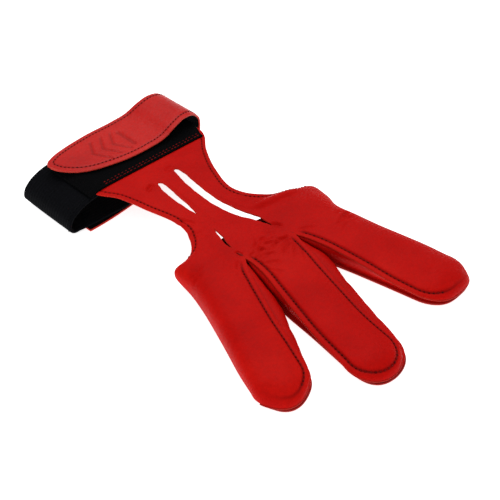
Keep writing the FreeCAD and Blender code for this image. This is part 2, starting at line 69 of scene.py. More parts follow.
class Place:
    """A flat frame: an origin and the two directions across and along, both level."""

    def __init__(self, origin, across):
        self.origin = np.array([origin[0], origin[1], 0.0])
        self.across = np.array([across[0], across[1], 0.0])
        self.along = np.array([-across[1], across[0], 0.0])

    def points(self, local):
        """Local (across, along, up) to the glove's own frame."""
        local = np.asarray(local, float)
        return (self.origin + local[..., 0:1] * self.across + local[..., 1:2] * self.along
                + local[..., 2:3] * UP)


def joint_place(name, back):
    """The frame of a joint that folds across the hand, its origin moved back from the fold along the hand."""
    joint = next(j for j in frame["joints"] if j["name"] == name)
    spot = np.array(joint["pos_m"]) / MM
    across = -np.array(joint["axis"])
    place = Place(spot, across)
    place.origin = place.origin - back * place.along
    return place


BEND_AT = {"index": 34.0, "middle": 40.0, "ring": 36.0}
KNUCKLE = joint_place("knuckle_fold", 0.0)
HAND = Place(KNUCKLE.origin[:2] + np.array([4.0, 5.0]), (1.0, 0.0))
CUFF = joint_place("wrist_fold", 18.0)
STALL = {name: joint_place(name + "_bend", BEND_AT[name]) for name in FINGERS}


# ---------------------------------------------------------------- curves

def smooth(low, high, x):
    """0 below low, 1 above high, and an easing 3t^2 - 2t^3 between."""
    t = np.clip((np.asarray(x, float) - low) / (high - low), 0.0, 1.0)
    return t * t * (3 - 2 * t)


def curve(knots, values, at):
    """A cubic through the values at the knots, each slope the mean slope of its neighbours."""
    knots = np.asarray(knots, float)
    values = np.asarray(values, float)
    at = np.asarray(at, float)
    slopes = np.gradient(values, knots, axis=0)
    i = np.clip(np.searchsorted(knots, at, side="right") - 1, 0, len(knots) - 2)
    h = knots[i + 1] - knots[i]
    t = np.clip((at - knots[i]) / h, 0.0, 1.0)
    if values.ndim > 1:
        h, t = h[:, None], t[:, None]
    return ((2 * t**3 - 3 * t**2 + 1) * values[i] + (t**3 - 2 * t**2 + t) * h * slopes[i]
            + (3 * t**2 - 2 * t**3) * values[i + 1] + (t**3 - t**2) * h * slopes[i + 1])


def ripple(x, seed, wave):
    """A smooth wander between about -1 and 1: four sines of unrelated wavelengths near wave."""
    total = 0.0
    for k, (share, factor) in enumerate(((0.4, 1.0), (0.3, 0.61), (0.2, 0.37), (0.1, 0.23))):
        total = total + share * np.sin(2 * np.pi * x / (wave * factor) + seed * (k + 1.7))
    return total


# ---------------------------------------------------------------- meshes

def grid_faces(rows, columns):
    """The quads of a grid whose vertices run row by row."""
    i, j = np.meshgrid(np.arange(rows - 1), np.arange(columns - 1), indexing="ij")
    a = (i * columns + j).ravel()
    return np.stack([a, a + columns, a + columns + 1, a + 1], axis=1)


def make_object(name, points, faces, normals=None, marks=None, slots=None, material_index=None):
    """A mesh at the origin from points in mm and quads; a quad that names a vertex twice is a triangle."""
    used, compact = np.unique(faces, return_inverse=True)
    faces = compact.reshape(faces.shape)
    points = points[used]
    keep = np.roll(faces, -1, axis=1) != faces
    counts = keep.sum(axis=1)
    good = counts >= 3
    keep = keep[good]
    counts = counts[good]
    loops = faces[good][keep]
    mesh = bpy.data.meshes.new(name)
    mesh.vertices.add(len(points))
    mesh.vertices.foreach_set("co", (points * MM).astype(np.float32).ravel())
    mesh.loops.add(len(loops))
    mesh.loops.foreach_set("vertex_index", loops.astype(np.int32))
    mesh.polygons.add(len(counts))
    starts = np.concatenate([[0], np.cumsum(counts)[:-1]])
    mesh.polygons.foreach_set("loop_start", starts.astype(np.int32))
    mesh.polygons.foreach_set("use_smooth", np.ones(len(counts), bool))
    if material_index is not None:
        mesh.polygons.foreach_set("material_index", material_index[good].astype(np.int32))
    mesh.update(calc_edges=True)
    rest = mesh.attributes.new("rest", "FLOAT_VECTOR", "POINT")
    rest.data.foreach_set("vector", (points * MM).astype(np.float32).ravel())
    for key, value in (marks or {}).items():
        layer = mesh.attributes.new(key, "FLOAT", "POINT")
        layer.data.foreach_set("value", value[used].astype(np.float32))
    if normals is not None:
        mesh.normals_split_custom_set_from_vertices(normals[used])
    for slot in slots or ():
        mesh.materials.append(slot)
    made = bpy.data.objects.new(name, mesh)
    bpy.context.scene.collection.objects.link(made)
    return made


def unit(v):
    """Vectors at length one."""
    return v / np.maximum(np.linalg.norm(v, axis=-1, keepdims=True), 1e-9)


def run_along(path):
    """The distance along a path to each of its points."""
    return np.concatenate([[0.0], np.cumsum(np.linalg.norm(np.diff(path, axis=0), axis=1))])


def between(at, run, path):
    """Points on a path at the distances given, on the straight lines between its own points."""
    return np.stack([np.interp(at, run, column) for column in path.T], axis=1)


class Hide:
    """A sheet of leather cut to shape: one welded surface with a thickness and rounded edges, shown in zones.

    The flesh side is the surface moved in by the thickness, and the cut edge is a half round between the two.
    Zones share their boundary points and normals, so a cut between two of them can't be seen.
    """

    def __init__(self, points, faces, zone, thickness, marks=None):
        _, first, where = np.unique(np.round(points, 4), axis=0, return_index=True, return_inverse=True)
        self.points = points[first]
        self.faces = where.reshape(-1)[faces]
        self.zone = zone
        self.n = len(self.points)
        self.marks = {key: value[first] for key, value in (marks or {}).items()}
        corner = self.points[self.faces]
        facing = np.cross(corner[:, 2] - corner[:, 0], corner[:, 3] - corner[:, 1])
        total = np.zeros((self.n, 3))
        for k in range(4):
            np.add.at(total, self.faces[:, k], facing)
        normal = unit(total)
        start = self.faces.ravel()
        end = np.roll(self.faces, -1, axis=1).ravel()
        owner = np.repeat(np.arange(len(self.faces)), 4)
        real = start != end
        self.start, self.end, self.owner = start[real], end[real], owner[real]
        key, back = self.start * self.n + self.end, self.end * self.n + self.start
        self.free = ~np.isin(back, key)
        outward = np.zeros((self.n, 3))
        a, b = self.start[self.free], self.end[self.free]
        push = unit(np.cross(self.points[b] - self.points[a], normal[a] + normal[b]))
        np.add.at(outward, a, push)
        np.add.at(outward, b, push)
        outward = unit(outward - normal * np.sum(outward * normal, axis=1, keepdims=True))
        half = thickness / 2
        layers, facings = [self.points, self.points - normal * thickness], [normal, -normal]
        for angle in np.radians([45.0, 90.0, 135.0]):
            layers.append(self.points - normal * half * (1 - math.cos(angle))
                          + outward * half * EDGE_ROUND * math.sin(angle))
            facings.append(normal * math.cos(angle) + outward * math.sin(angle))
        self.layers = np.concatenate(layers)
        self.normals = np.concatenate(facings)

    def show(self, name, zones, slots):
        """An object of these zones: grain side and cut edge in the first slot, flesh side in the second."""
        n = self.n
        mine = np.isin(self.zone, zones)
        outer = self.faces[mine]
        inner = outer[:, ::-1] + n
        edge = mine[self.owner]
        a, b = self.start[edge & self.free], self.end[edge & self.free]
        rings = [0, 2, 3, 4, 1]
        rim = [np.stack([b + n * low, a + n * low, a + n * high, b + n * high], axis=1)
               for low, high in zip(rings[:-1], rings[1:])]
        key = self.start[edge] * n + self.end[edge]
        back = self.end[edge] * n + self.start[edge]
        cut = ~np.isin(back, key) & ~self.free[edge]
        a, b = self.start[edge][cut], self.end[edge][cut]
        cap = np.stack([b, a, a + n, b + n], axis=1)
        faces = np.concatenate([outer, *rim, cap, inner])
        index = np.zeros(len(faces), int)
        index[len(faces) - len(inner):] = 1
        marks = {key: np.tile(value, 5) for key, value in self.marks.items()}
        # Cut-edge mark: the leather's raw edge is drawn paler, partly as a painted highlight.
        raw = np.zeros((5, n))
        raw[2:] = 1.0
        marks["raw_edge_highlight"] = raw.ravel()
        return make_object(name, self.layers, faces, self.normals, marks, slots, index)


# ---------------------------------------------------------------- the back's plan

# Rows are numbered by v, about a millimetre each from the cuff's edge to the crotches between the fingers.
CROTCH = 109.0
ROW_SHIFT = {"index": 113.7, "middle": 109.5, "ring": 109.5}    # v = this + millimetres along the stall
TIP_AT = {"index": 57.0, "middle": 72.0, "ring": 62.0}          # where a stall's round end starts

# Each line runs from the cuff to the stalls, as (across, along, up) at these rows in the hand's frame.
WEB_ROWS = (0, 34, 44, 58, 72, 84, 92, 98, 103)
INDEX_EDGE = ((-17.5, -99.5, 17.9), (-23, -66.5, 18.3), (-17.4, -57.5, 18.1), (-11.2, -41, 17),
              (-10.4, -25, 15.2), (-21, -15, 13.4), (-36, -11.5, 11.4), (-46.6, -11.2, 7.4),
              (-47.4, -2.2, 3.4))
INDEX_CREST = ((-7, -98, 17.9), (-7.5, -63, 18.4), (-4.5, -53, 18.1), (-1.6, -38, 17), (-2.6, -23.5, 15.5),
               (-10, -12.5, 13.9), (-19.5, -8, 13.4), (-26, -3.5, 13.1), (-28.6, 2.5, 12.9))
FIRST_LINE = ((6.5, -96.5, 17.9), (4.6, -61.6, 18.4), (3.9, -51, 17.8), (3.8, -37, 16.6), (1.8, -22, 15),
              (-3.2, -11, 13.1), (-6.9, -5, 12.4), (-9.2, 0.6, 12), (-11.4, 6.4, 11.8), (-14, 12.6, 11.4))
MIDDLE_CREST = ((13, -95.7, 17.9), (12, -60.7, 18.4), (12, -50, 17.9), (11.7, -37, 16.8), (9.8, -22, 15.3),
                (7.6, -11, 13.6), (5, -4.5, 12.8), (3, 1, 12.6), (1.3, 6.5, 12.5))
SECOND_LINE = ((20, -95, 17.9), (18, -59.8, 18.4), (16.2, -49.5, 17.7), (15.6, -37, 16.4), (14, -22, 14.8),
               (12.9, -11, 13), (13.3, -3.5, 12.3), (14.1, 2, 12), (13.8, 7, 11.8), (13, 12.3, 11.4))
RING_CREST = ((31, -94, 17.9), (31, -58.5, 18.4), (29, -49.5, 17.8), (25, -37, 16.6), (21.2, -22, 15.1),
              (20.8, -11, 13.4), (22.5, -4.5, 12.9), (25, 0, 12.7), (26.8, 5.5, 12.6))
RING_EDGE = ((37, -92.5, 17.9), (43.2, -57.8, 17.9), (36.6, -50.2, 17.4), (31.2, -37, 16.4),
             (24.9, -22, 14.7), (24.8, -11.8, 12.9), (30, -3.4, 11.3), (37.4, -1.3, 8), (41, -0.4, 5.2))

# A slot as (row, half width) along its line.
FIRST_SLOT = ((41.8, 0), (43.2, 1.6), (47, 2.1), (54, 2.4), (70, 2.4), (80, 2.6), (86, 2.6), (92, 2.1),
              (97, 1.3), (101.5, 0))
SECOND_SLOT = ((44.8, 0), (46, 1.5), (51, 2.1), (58, 2), (64, 1.7), (69, 1.2), (73, 0.3), (76, 0.12),
               (84, 0.12), (88, 0.7), (93, 1.1), (98, 0.9), (103, 0))

# Stalls, as (along, across, up) of the lip or wrapped edge, the crest, and the seam round the palm.
TOP_RIGHT = {
    "index": ((2, 15.2, 11.3), (10, 14.4, 10.9), (24, 14.8, 10.1), (34, 15.5, 9.4), (46, 16.5, 8.5),
              (57, 16.2, 7.4)),
    "middle": ((6, 13.2, 11.3), (14, 13, 10.9), (26, 14.3, 10.3), (40, 15.8, 9.4), (54, 17, 8.4),
               (72, 17, 7.2)),
    "ring": ((0, 13.2, 1.6), (9, 12.5, 1.4), (24, 12.5, 1.4), (38, 13, 1.4), (52, 13.6, 1.4),
             (62, 13.4, 1.4)),
}
CREST = {
    "index": ((-1, -1.5, 12.8), (10, -1, 12.7), (24, -0.8, 12.4), (34, -0.6, 12.1), (46, -0.4, 11.2),
              (57, -0.2, 10)),
    "middle": ((3, 0.5, 12.4), (14, 1.2, 12.6), (26, 2.2, 12.5), (40, 3.4, 12), (54, 4.2, 11.2),
               (72, 4, 9.6)),
    "ring": ((1, 0.5, 12.6), (12, 1, 12.6), (24, 1.5, 12.4), (38, 1.7, 11.9), (52, 1.7, 11), (62, 1.6, 9.8)),
}
TOP_LEFT = {
    "index": ((0, -15.4, 1.8), (10, -15.1, 1.4), (24, -14.5, 1.4), (34, -14.8, 1.4), (46, -15.5, 1.4),
              (57, -15.6, 1.4)),
    "middle": ((6, -12.6, 11.3), (16, -11.8, 10.9), (26, -10.6, 10.4), (40, -9.4, 9.5), (58, -8.4, 8.2),
               (72, -9.4, 7)),
    "ring": ((4, -12.2, 11.3), (12, -11.4, 10.9), (24, -10.7, 10.3), (36, -10.3, 9.4), (50, -10.6, 8.3),
             (62, -10.8, 7)),
}
BOTTOM_RIGHT = {
    "index": ((-1, 16, 7.5), (5, 15.2, 5), (14, 14, 2.6), (24, 13.3, 1.4), (38, 12.9, 1.4), (57, 12.7, 1.4)),
    "middle": ((3, 13.4, 7.5), (10, 13.8, 5.2), (20, 14.3, 3.2), (32, 14.3, 1.8), (48, 13.5, 1.4),
               (72, 13, 1.4)),
    "ring": ((0, 10.8, 1.4), (9, 10.9, 1.4), (24, 11.4, 1.4), (62, 12.2, 1.4)),
}
BOTTOM_LEFT = {
    "index": ((0, -14.2, 1.4), (34, -14.7, 1.4), (57, -15, 1.4)),
    "middle": ((3, -14, 7.5), (8, -16.6, 5), (16, -19.8, 2.6), (30, -18, 1.4), (46, -15.5, 1.4),
               (58, -14, 1.4), (72, -12, 1.4)),
    "ring": ((1, -14.2, 7.5), (8, -15.6, 5.2), (17, -17.2, 3.2), (26, -17.8, 1.8), (44, -15.1, 1.4),
             (62, -12, 1.4)),
}
TIP_TURN = (0, 45, 90, 135, 180)    # degrees round the stall's end, from its right side
# How far the stall's end reaches out at 45, 90 and 135 degrees: its top edge, and the seam round the palm.
TIP_REACH = {"index": (15, 14.1, 16.9), "middle": (13.6, 13.6, 13.6), "ring": (12.2, 13.6, 12.2)}
PALM_REACH = {"index": (13.8, 13.4, 16.2), "middle": (12.6, 13.2, 13.6), "ring": (11.6, 13.2, 12)}
# At the five turns: how high the top edge lies, and how strong its seam is.
TIP_UP = {
    "index": (7.4, 4.8, 3.4, 2.8, 1.4),
    "middle": (7.2, 4.8, 3.4, 4.2, 7),
    "ring": (1.4, 2.4, 3.4, 4.4, 7),
}
TIP_SEAM = {"index": (1, 0.9, 0.45, 0.1, 0), "middle": (1, 1, 0.85, 0.9, 1), "ring": (0, 0.1, 0.5, 0.9, 1)}
SEAM_ROLL, WRAP_ROLL, TIP_ROLL, FLAT_ROLL = (math.radians(a) for a in (52.0, 112.0, 80.0, 25.0))


def hand_curve(rows, spots, name, table):
    """Knots and points in the glove's frame of a line that starts on the hand and runs on down a stall."""
    local = np.array([(x, s, z) for s, x, z in table[name]], float)
    knots = np.concatenate([rows[:len(spots)], ROW_SHIFT[name] + local[:, 1]])
    return knots, np.concatenate([HAND.points(np.array(spots, float)), STALL[name].points(local)])


ALL_ROWS = (*WEB_ROWS, CROTCH)
STRIPS = {
    name: {"left": left, "crest": (WEB_ROWS, crest), "right": right} for name, left, crest, right in (
        ("index", (WEB_ROWS, INDEX_EDGE), INDEX_CREST, (ALL_ROWS, FIRST_LINE)),
        ("middle", (ALL_ROWS, FIRST_LINE), MIDDLE_CREST, (ALL_ROWS, SECOND_LINE)),
        ("ring", (ALL_ROWS, SECOND_LINE), RING_CREST, (WEB_ROWS, RING_EDGE)))
}
SLOTS = {("index", "right"): (FIRST_SLOT, -1, 3.1), ("middle", "left"): (FIRST_SLOT, 1, 5.3),
         ("middle", "right"): (SECOND_SLOT, -1, 7.7), ("ring", "left"): (SECOND_SLOT, 1, 9.1)}
SHARED_ROWS = np.concatenate([np.linspace(0, 34, 19)[:-1], np.linspace(34, CROTCH, 105)])
ROW_STEP = 0.75
TIP_SPOKES = 49


def stall_rows(name):
    """The rows from the crotch to the start of the stall's round end."""
    end = ROW_SHIFT[name] + TIP_AT[name]
    return np.linspace(CROTCH, end, int((end - CROTCH) / ROW_STEP) + 1)[1:]


def side_spokes(name, side, v):
    """A strip's side as spokes: crest and edge points, roll, arch share, seam and hem strength."""
    rows, spots = STRIPS[name]["crest"]
    crest = curve(*hand_curve(rows, spots, name, CREST), v)
    rows, spots = STRIPS[name][side]
    edge = curve(*hand_curve(rows, spots, name, TOP_RIGHT if side == "right" else TOP_LEFT), v)
    if (name, side) in SLOTS:
        slot, sign, seed = SLOTS[name, side]
        gap = np.interp(v, *np.array(slot, float).T)
        rag = 0.16 * ripple(v, seed, 9.0) * (gap > 0.3)
        # The line itself is shared, so that both strips meet on it wherever the slot is closed.
        line = curve(ALL_ROWS, HAND.points(np.array(spots, float)), v)
        edge = np.where((v <= CROTCH)[:, None], line, edge) + sign * (gap + rag)[:, None] * HAND.across
        arch = smooth(CROTCH, CROTCH + 9, v)
        seam = smooth(CROTCH + 0.5, CROTCH + 5, v)
        roll = np.full_like(v, SEAM_ROLL)
        hem = np.zeros_like(v)
    else:
        arch = np.ones_like(v)
        seam = np.zeros_like(v)
        roll = FLAT_ROLL + (WRAP_ROLL - FLAT_ROLL) * smooth(84, 106, v)
        hem = 1 - smooth(92, 104, v)
    return {"crest": crest, "edge": edge, "roll": roll, "arch": arch, "seam": seam, "hem": hem, "v": v}


def fan(name, middle, right, left, reaches, turn):
    """Steps out from the middle of a stall's end, from its last right point round to its last left one."""
    first, last = (np.linalg.norm((spot - middle)[:2]) for spot in (right, left))
    reach = curve(TIP_TURN, (first, *reaches[name], last), turn)[:, None]
    angle = np.radians(turn)[:, None]
    return reach * (np.cos(angle) * STALL[name].across + np.sin(angle) * STALL[name].along)


def tip_spokes(name, right, left):
    """Spokes that fan round the stall's end from the last right spoke to the last left one."""
    turn = np.linspace(0, 180, TIP_SPOKES)[1:-1]
    count = len(turn)
    centre = right["crest"][-1]
    edge = centre + fan(name, centre, right["edge"][-1], left["edge"][-1], TIP_REACH, turn)
    edge[:, 2] = curve(TIP_TURN, TIP_UP[name], turn)
    rolls = [right["roll"][-1], TIP_ROLL, TIP_ROLL, TIP_ROLL, left["roll"][-1]]
    return {"crest": np.tile(centre, (count, 1)), "edge": edge, "roll": np.interp(turn, TIP_TURN, rolls),
            "arch": np.ones(count), "seam": np.interp(turn, TIP_TURN, TIP_SEAM[name]), "hem": np.zeros(count),
            "v": np.full(count, right["v"][-1]), "turn": turn}


def strip_spokes(name):
    """A strip's spokes in one run: up its right edge, round the stall's end and back down its left edge."""
    v = np.concatenate([SHARED_ROWS, stall_rows(name)])
    right, left = side_spokes(name, "right", v), side_spokes(name, "left", v)
    tip = tip_spokes(name, right, left)
    made = {key: np.concatenate([right[key], tip[key], left[key][::-1]]) for key in right}
    made["side"] = np.repeat([1.0, 0.0, -1.0], [len(v), len(tip["v"]), len(v)])
    made["turn"] = np.concatenate([np.zeros(len(v)), tip["turn"], np.full(len(v), 180.0)])
    return made


# Creases in the back, in the hand frame: start, end, depth, half width, bow.
CREASES = (
    ((-12, 13.5), (-3.5, 12), 0.5, 0.7, 0.8), ((-11.5, 14.6), (1.5, 17), 0.42, 0.65, -1.2),
    ((-11, 16.2), (-1, 19.6), 0.25, 0.5, -0.6), ((-10.5, 17.8), (0, 23.5), 0.35, 0.6, -1),
    ((-9.8, 20), (-3.5, 28), 0.25, 0.55, -0.6), ((-10.2, 23), (-5.5, 32), 0.2, 0.5, 0.4),
    ((11.2, 14), (4, 10.5), 0.5, 0.7, -0.9), ((10.8, 16), (2, 14.5), 0.5, 0.7, 0.8),
    ((10.7, 17.2), (4, 18), 0.25, 0.5, 0.5), ((10.6, 18.5), (0, 20.8), 0.42, 0.65, 1),
    ((10.4, 22), (3, 27), 0.3, 0.6, 0.8), ((10.4, 25.5), (5.5, 32), 0.18, 0.5, -0.4),
    ((5.5, 11.5), (-3, 9), 0.38, 0.9, 0.8), ((2, 12.4), (-4, 15), 0.35, 0.7, 0.5),
    ((5, 13), (1, 17.5), 0.25, 0.6, -0.5), ((-1, 11), (-6.5, 11.8), 0.25, 0.6, 0.4),
    ((8.5, 12), (1, 5.5), 0.3, 0.8, -0.8), ((-9, 9.5), (-2, 3.5), 0.18, 0.8, 0.6),
    ((-46, 17.5), (-35, 21.5), 0.45, 0.8, -1), ((-43, 21.5), (-31, 22.5), 0.22, 0.7, -0.8),
    ((-44, 14.5), (-37, 15.2), 0.18, 0.6, 0.5), ((-38, 24), (-31, 27), 0.14, 0.6, -0.5),
    ((39.5, 9), (31, 6), 0.4, 0.8, -0.8), ((40.5, 13), (33.5, 11), 0.22, 0.7, 0.6),
    ((37, 6.5), (33, 3.5), 0.15, 0.6, 0.3), ((-9.5, 2.4), (-13.5, 6.5), 0.55, 0.7, 0.2),
    ((14.4, 8), (13.4, 11.5), 0.45, 0.6, 0.1), ((24, -45.5), (18.5, -48.5), 0.5, 1, 0.6),
    ((9, -53), (3, -54.5), 0.3, 1.2, 0.3), ((-17, 12.8), (-25, 17.5), 0.22, 0.8, 0.5),
    ((15.5, 13.5), (21, 18.5), 0.25, 0.8, -0.4), ((24, -22), (18, -15), 0.25, 1, 0.5),
    ((-8, -11.4), (-38, -10.6), -0.55, 2, -1), ((28, -12), (17, -9), 0.2, 1.3, 0.4),
)
CREASE_DEPTH = 2.1
# Where the back has gone soft and crumpled: centre, half lengths along X and Y, strength.
CRUMPLED = (
    ((0, 14), (9, 5), 1), ((-8, 20), (4, 7), 0.9), ((9, 19), (4, 7), 1), ((1, 24), (8, 7), 0.5),
    ((-38, 18), (9, 6), 0.6), ((34, 9), (8, 6), 0.6), ((-13, 7), (5, 5), 0.5),
    ((14, 9), (4, 4), 0.5), ((-28, -3), (10, 5), 0.35), ((22, -46), (5, 5), 0.5),
    ((3, 44), (8, 9), 0.3), ((-50, 62), (8, 8), 0.3), ((42, 62), (8, 8), 0.3),
    ((8, 78), (8, 8), 0.3),
)
# Soft swellings and dents: centre, half lengths along X and Y, height.
SWELLS = (
    ((-33, 2), (9, 8), 0.7), ((29, 7), (7, 7), 0.5), ((-16, -6), (9, 3.5), 0.5),
    ((-10, -14), (4, 5), -0.45), ((1, 23), (7, 6), 0.35), ((-1, 34), (7, 4), -0.35),
    ((3, 46), (7, 6), 0.3), ((-39, 36), (7, 6), 0.25), ((-45, 50), (6, 5), -0.4),
    ((-50, 64), (6, 6), 0.35), ((35, 34), (6, 6), -0.3), ((38, 48), (6, 6), 0.3),
    ((42, 66), (6, 5), -0.3), ((8, 70), (6, 7), 0.2), ((5, 60), (6, 4), -0.3),
    ((30, -48), (6, 5), -0.5), ((-5, -52), (7, 4), -0.4),
)


def worn_shape(points):
    """How far use has moved the leather up or down: Gaussian swells, and creases with raised shoulders."""
    x, y = (points - HAND.origin)[:, 0], (points - HAND.origin)[:, 1]
    rise = np.zeros(len(points))
    for (cx, cy), (rx, ry), high in SWELLS:
        rise += high * np.exp(-((x - cx) / rx) ** 2 - ((y - cy) / ry) ** 2)
    for (x0, y0), (x1, y1), deep, half, bow in CREASES:
        length = math.hypot(x1 - x0, y1 - y0)
        ux, uy = (x1 - x0) / length, (y1 - y0) / length
        t = ((x - x0) * ux + (y - y0) * uy) / length
        off = -(x - x0) * uy + (y - y0) * ux - 4 * bow * t * (1 - t)
        fade = smooth(-0.08, 0.25, t) * (1 - smooth(0.7, 1.08, t))
        near = off / half
        trough = np.exp(-near**2) - 0.45 * np.exp(-((np.abs(near) - 1.9) / 0.9) ** 2)
        rise -= CREASE_DEPTH * deep * fade * trough
    return rise


def crumple(points):
    """How crumpled the back's leather is at each point, 0 to 1: the sum of Gaussian patches."""
    x, y = (points - HAND.origin)[:, 0], (points - HAND.origin)[:, 1]
    total = np.full(len(points), 0.12)
    for (cx, cy), (rx, ry), strength in CRUMPLED:
        total += strength * np.exp(-((x - cx) / rx) ** 2 - ((y - cy) / ry) ** 2)
    return np.clip(total, 0, 1)


def spoke_surface(spokes, share):
    """Points from crest to edge of each spoke, for shares 0 to 1 of the way along its arch.

    The plan runs out as sin(a)^e and the height falls as cos(a)^e, with a up to the spoke's roll, so a roll
    past a right angle tucks the edge under. Where the strips are still one sheet, the height eases over as a
    cosine instead.
    """
    roll, arch = spokes["roll"][:, None], spokes["arch"][:, None]
    boxy = 1 - 0.25 * smooth(math.radians(60), WRAP_ROLL, roll)
    a = share * roll
    widest = np.sin(np.minimum(roll, math.pi / 2)) ** boxy
    out = np.sin(a) ** boxy / widest
    falls = np.sign(np.cos(a)) * np.abs(np.cos(a)) ** boxy
    last = np.sign(np.cos(roll)) * np.abs(np.cos(roll)) ** boxy
    height = arch * (falls - last) / (1 - last) + (1 - arch) * 0.5 * (1 + np.cos(np.pi * np.minimum(out, 1)))
    crest, edge = spokes["crest"][:, None, :], spokes["edge"][:, None, :]
    points = crest + out[..., None] * (edge - crest)
    points[..., 2] = edge[..., 2] + (crest[..., 2] - edge[..., 2]) * height
    reach = np.linalg.norm((edge - crest)[..., :2], axis=-1)
    inset = (1 - out) * reach
    seam, hem = spokes["seam"][:, None], spokes["hem"][:, None]
    row = np.exp(-((inset - LIP) / 0.55) ** 2)
    lift = seam * (0.35 * np.exp(-(inset / 1.2) ** 2) - 0.55 * row) - 0.22 * hem * row
    edge_side = np.ones_like(share) * (a < math.pi / 2)
    worn = worn_shape(points.reshape(-1, 3)).reshape(out.shape)
    points[..., 2] += lift + worn * np.clip(np.cos(a) * 1.6, 0, 1) * smooth(30, 40, spokes["v"])[:, None]
    # The second result is painted shade: darker along the row of stitches in from a seam's or hem's cut edge.
    return points, (seam + 0.6 * hem) * row * edge_side


HALF_COLUMNS = 27
SHARES = np.linspace(0, 1, HALF_COLUMNS)[None, :]
BACK = {name: strip_spokes(name) for name in FINGERS}

# Zones of the back: the web with the cuff's back, the knuckles, and one for each stall.
WEB_END, KNUCKLE_END = 76.0, 112.0
WEB_ZONE, KNUCKLE_ZONE = 0, 1
STALL_ZONE = {"index": 2, "middle": 3, "ring": 4}


def one_mesh(grids, zones):
    """Several grids as one list of points and one of quads, with each quad's zone taken from its row."""
    faces = []
    base = 0
    for spots in grids:
        faces.append(grid_faces(*spots.shape[:2]) + base)
        base += spots[..., 0].size
    zone = [np.repeat(rows, spots.shape[1] - 1) for rows, spots in zip(zones, grids)]
    points = np.concatenate([spots.reshape(-1, 3) for spots in grids])
    return points, np.concatenate(faces), np.concatenate(zone)


def row_middles(spokes):
    """The row number halfway between each spoke and the next."""
    return 0.5 * (spokes["v"][:-1] + spokes["v"][1:])


def back_hide():
    """The one-piece back: every strip's spokes, welded wherever no slot or stall parts them."""
    grids, zones, painted_shades = [], [], []
    for name in FINGERS:
        spots, painted_shade = spoke_surface(BACK[name], SHARES)
        grids.append(spots)
        painted_shades.append(painted_shade.ravel())
        v = row_middles(BACK[name])
        beyond = np.where(v < KNUCKLE_END, KNUCKLE_ZONE, STALL_ZONE[name])
        zones.append(np.where(v < WEB_END, WEB_ZONE, beyond))
    points, faces, zone = one_mesh(grids, zones)
    # The back carries its painted shade along the stitched seams as a mark.
    marks = {"painted_shade": np.concatenate(painted_shades), "crumple": crumple(points)}
    return Hide(points, faces[:, ::-1], zone, LEATHER, marks)


# ---------------------------------------------------------------- palm side

PALM_UP = 1.4
PALM_ROWS = (90, 102, 112)
# The palm leather's two sides and the seams between its panels, as (across, along) at those rows.
PALM_LINES = (((-45.3, -8.5), (-46, 3)), ((-10.5, -6.5), (-13, 5), (-15, 16)),
              ((14.6, -4), (14.2, 6), (13.6, 16)), ((37, -1), (37, 3.6)))


def palm_spokes(name):
    """A stall's palm leather, as spokes in the same order as the back's, level and just above the ground."""
    start, crotch = PALM_ROWS[0], PALM_ROWS[-1]
    end = ROW_SHIFT[name] + TIP_AT[name]
    rows = np.concatenate([np.linspace(start, crotch, 16), np.linspace(crotch, end, 50)[1:]])
    sides = []
    which = FINGERS.index(name)
    for table, spots in ((BOTTOM_RIGHT, PALM_LINES[which + 1]), (BOTTOM_LEFT, PALM_LINES[which])):
        tail = np.array([(x, s, PALM_UP) for s, x, z in table[name] if s + ROW_SHIFT[name] > crotch + 4],
                        float)
        knots = PALM_ROWS[:len(spots)]
        line = HAND.points([(x, y, PALM_UP) for x, y in spots])
        side = curve((*knots, *(ROW_SHIFT[name] + tail[:, 1])),
                     np.concatenate([line, STALL[name].points(tail)]), rows)
        # Both neighbours share the line up to the crotch, so they weld there.
        shared = (rows <= crotch) & (len(spots) == len(PALM_ROWS))
        sides.append(np.where(shared[:, None], curve(knots, line, rows), side))
    right, left = sides
    crest = 0.5 * (left + right)
    centre = crest[-1]
    turn = np.linspace(0, 180, 41)[1:-1]
    shift = BACK[name]["crest"][BACK[name]["turn"] == 90][0] - centre
    shift[2] = 0
    tip = (centre + shift * np.sin(np.radians(turn))[:, None] ** 2
           + fan(name, centre, right[-1], left[-1], PALM_REACH, turn))
    count = len(turn)
    return {"crest": np.concatenate([crest, np.tile(centre, (count, 1)), crest[::-1]]),
            "edge": np.concatenate([right, tip, left[::-1]]),
            "v": np.concatenate([rows, np.full(count, rows[-1]), rows[::-1]])}


PALM = {name: palm_spokes(name) for name in FINGERS}
PALM_BASE_ZONE, PALM_BASE_END = 0, 118
MOUTH_EDGE = -9.6
MOUTH_LIFT = 5.0


def mouth(spots):
    """The palm side's free edge drawn towards the wrist and bowed up between the hand's two sides.

    Both fade as 1 - 3t^2 + 2t^3 towards the stalls and as the root of a parabola towards the hand's sides.
    """
    x, y = np.moveaxis((spots - HAND.origin)[..., :2], -1, 0)
    bow = np.clip(1 - ((x + 3.5) / 37.0) ** 2, 0, 1)
    edge = np.interp(x, (-45.3, -10.5, 14.6, 38.6), (-8.5, -6.5, -4.0, -1.2))
    moved = spots.copy()
    moved[..., 1] += (MOUTH_EDGE - edge) * np.sqrt(bow) * (1 - smooth(-6.0, 9.0, y))
    moved[..., 2] += MOUTH_LIFT * bow * (1 - smooth(-9.0, 15.0, y))
    return moved


def palm_hide():
    """The palm leather: flat, its grain side down, its panels welded to each other up to the crotches."""
    grids, zones = [], []
    share = np.linspace(0, 1, 13)[None, :, None]
    for name in FINGERS:
        spokes = PALM[name]
        spots = spokes["crest"][:, None] + share * (spokes["edge"] - spokes["crest"])[:, None]
        spots[..., 2] = 0.15 + 0.25 * share[..., 0] ** 3 * (spokes["v"] > PALM_ROWS[-1])[:, None]
        grids.append(mouth(spots))
        zones.append(np.where(row_middles(spokes) < PALM_BASE_END, PALM_BASE_ZONE, STALL_ZONE[name]))
    return Hide(*one_mesh(grids, zones), LEATHER)


# ---------------------------------------------------------------- gussets

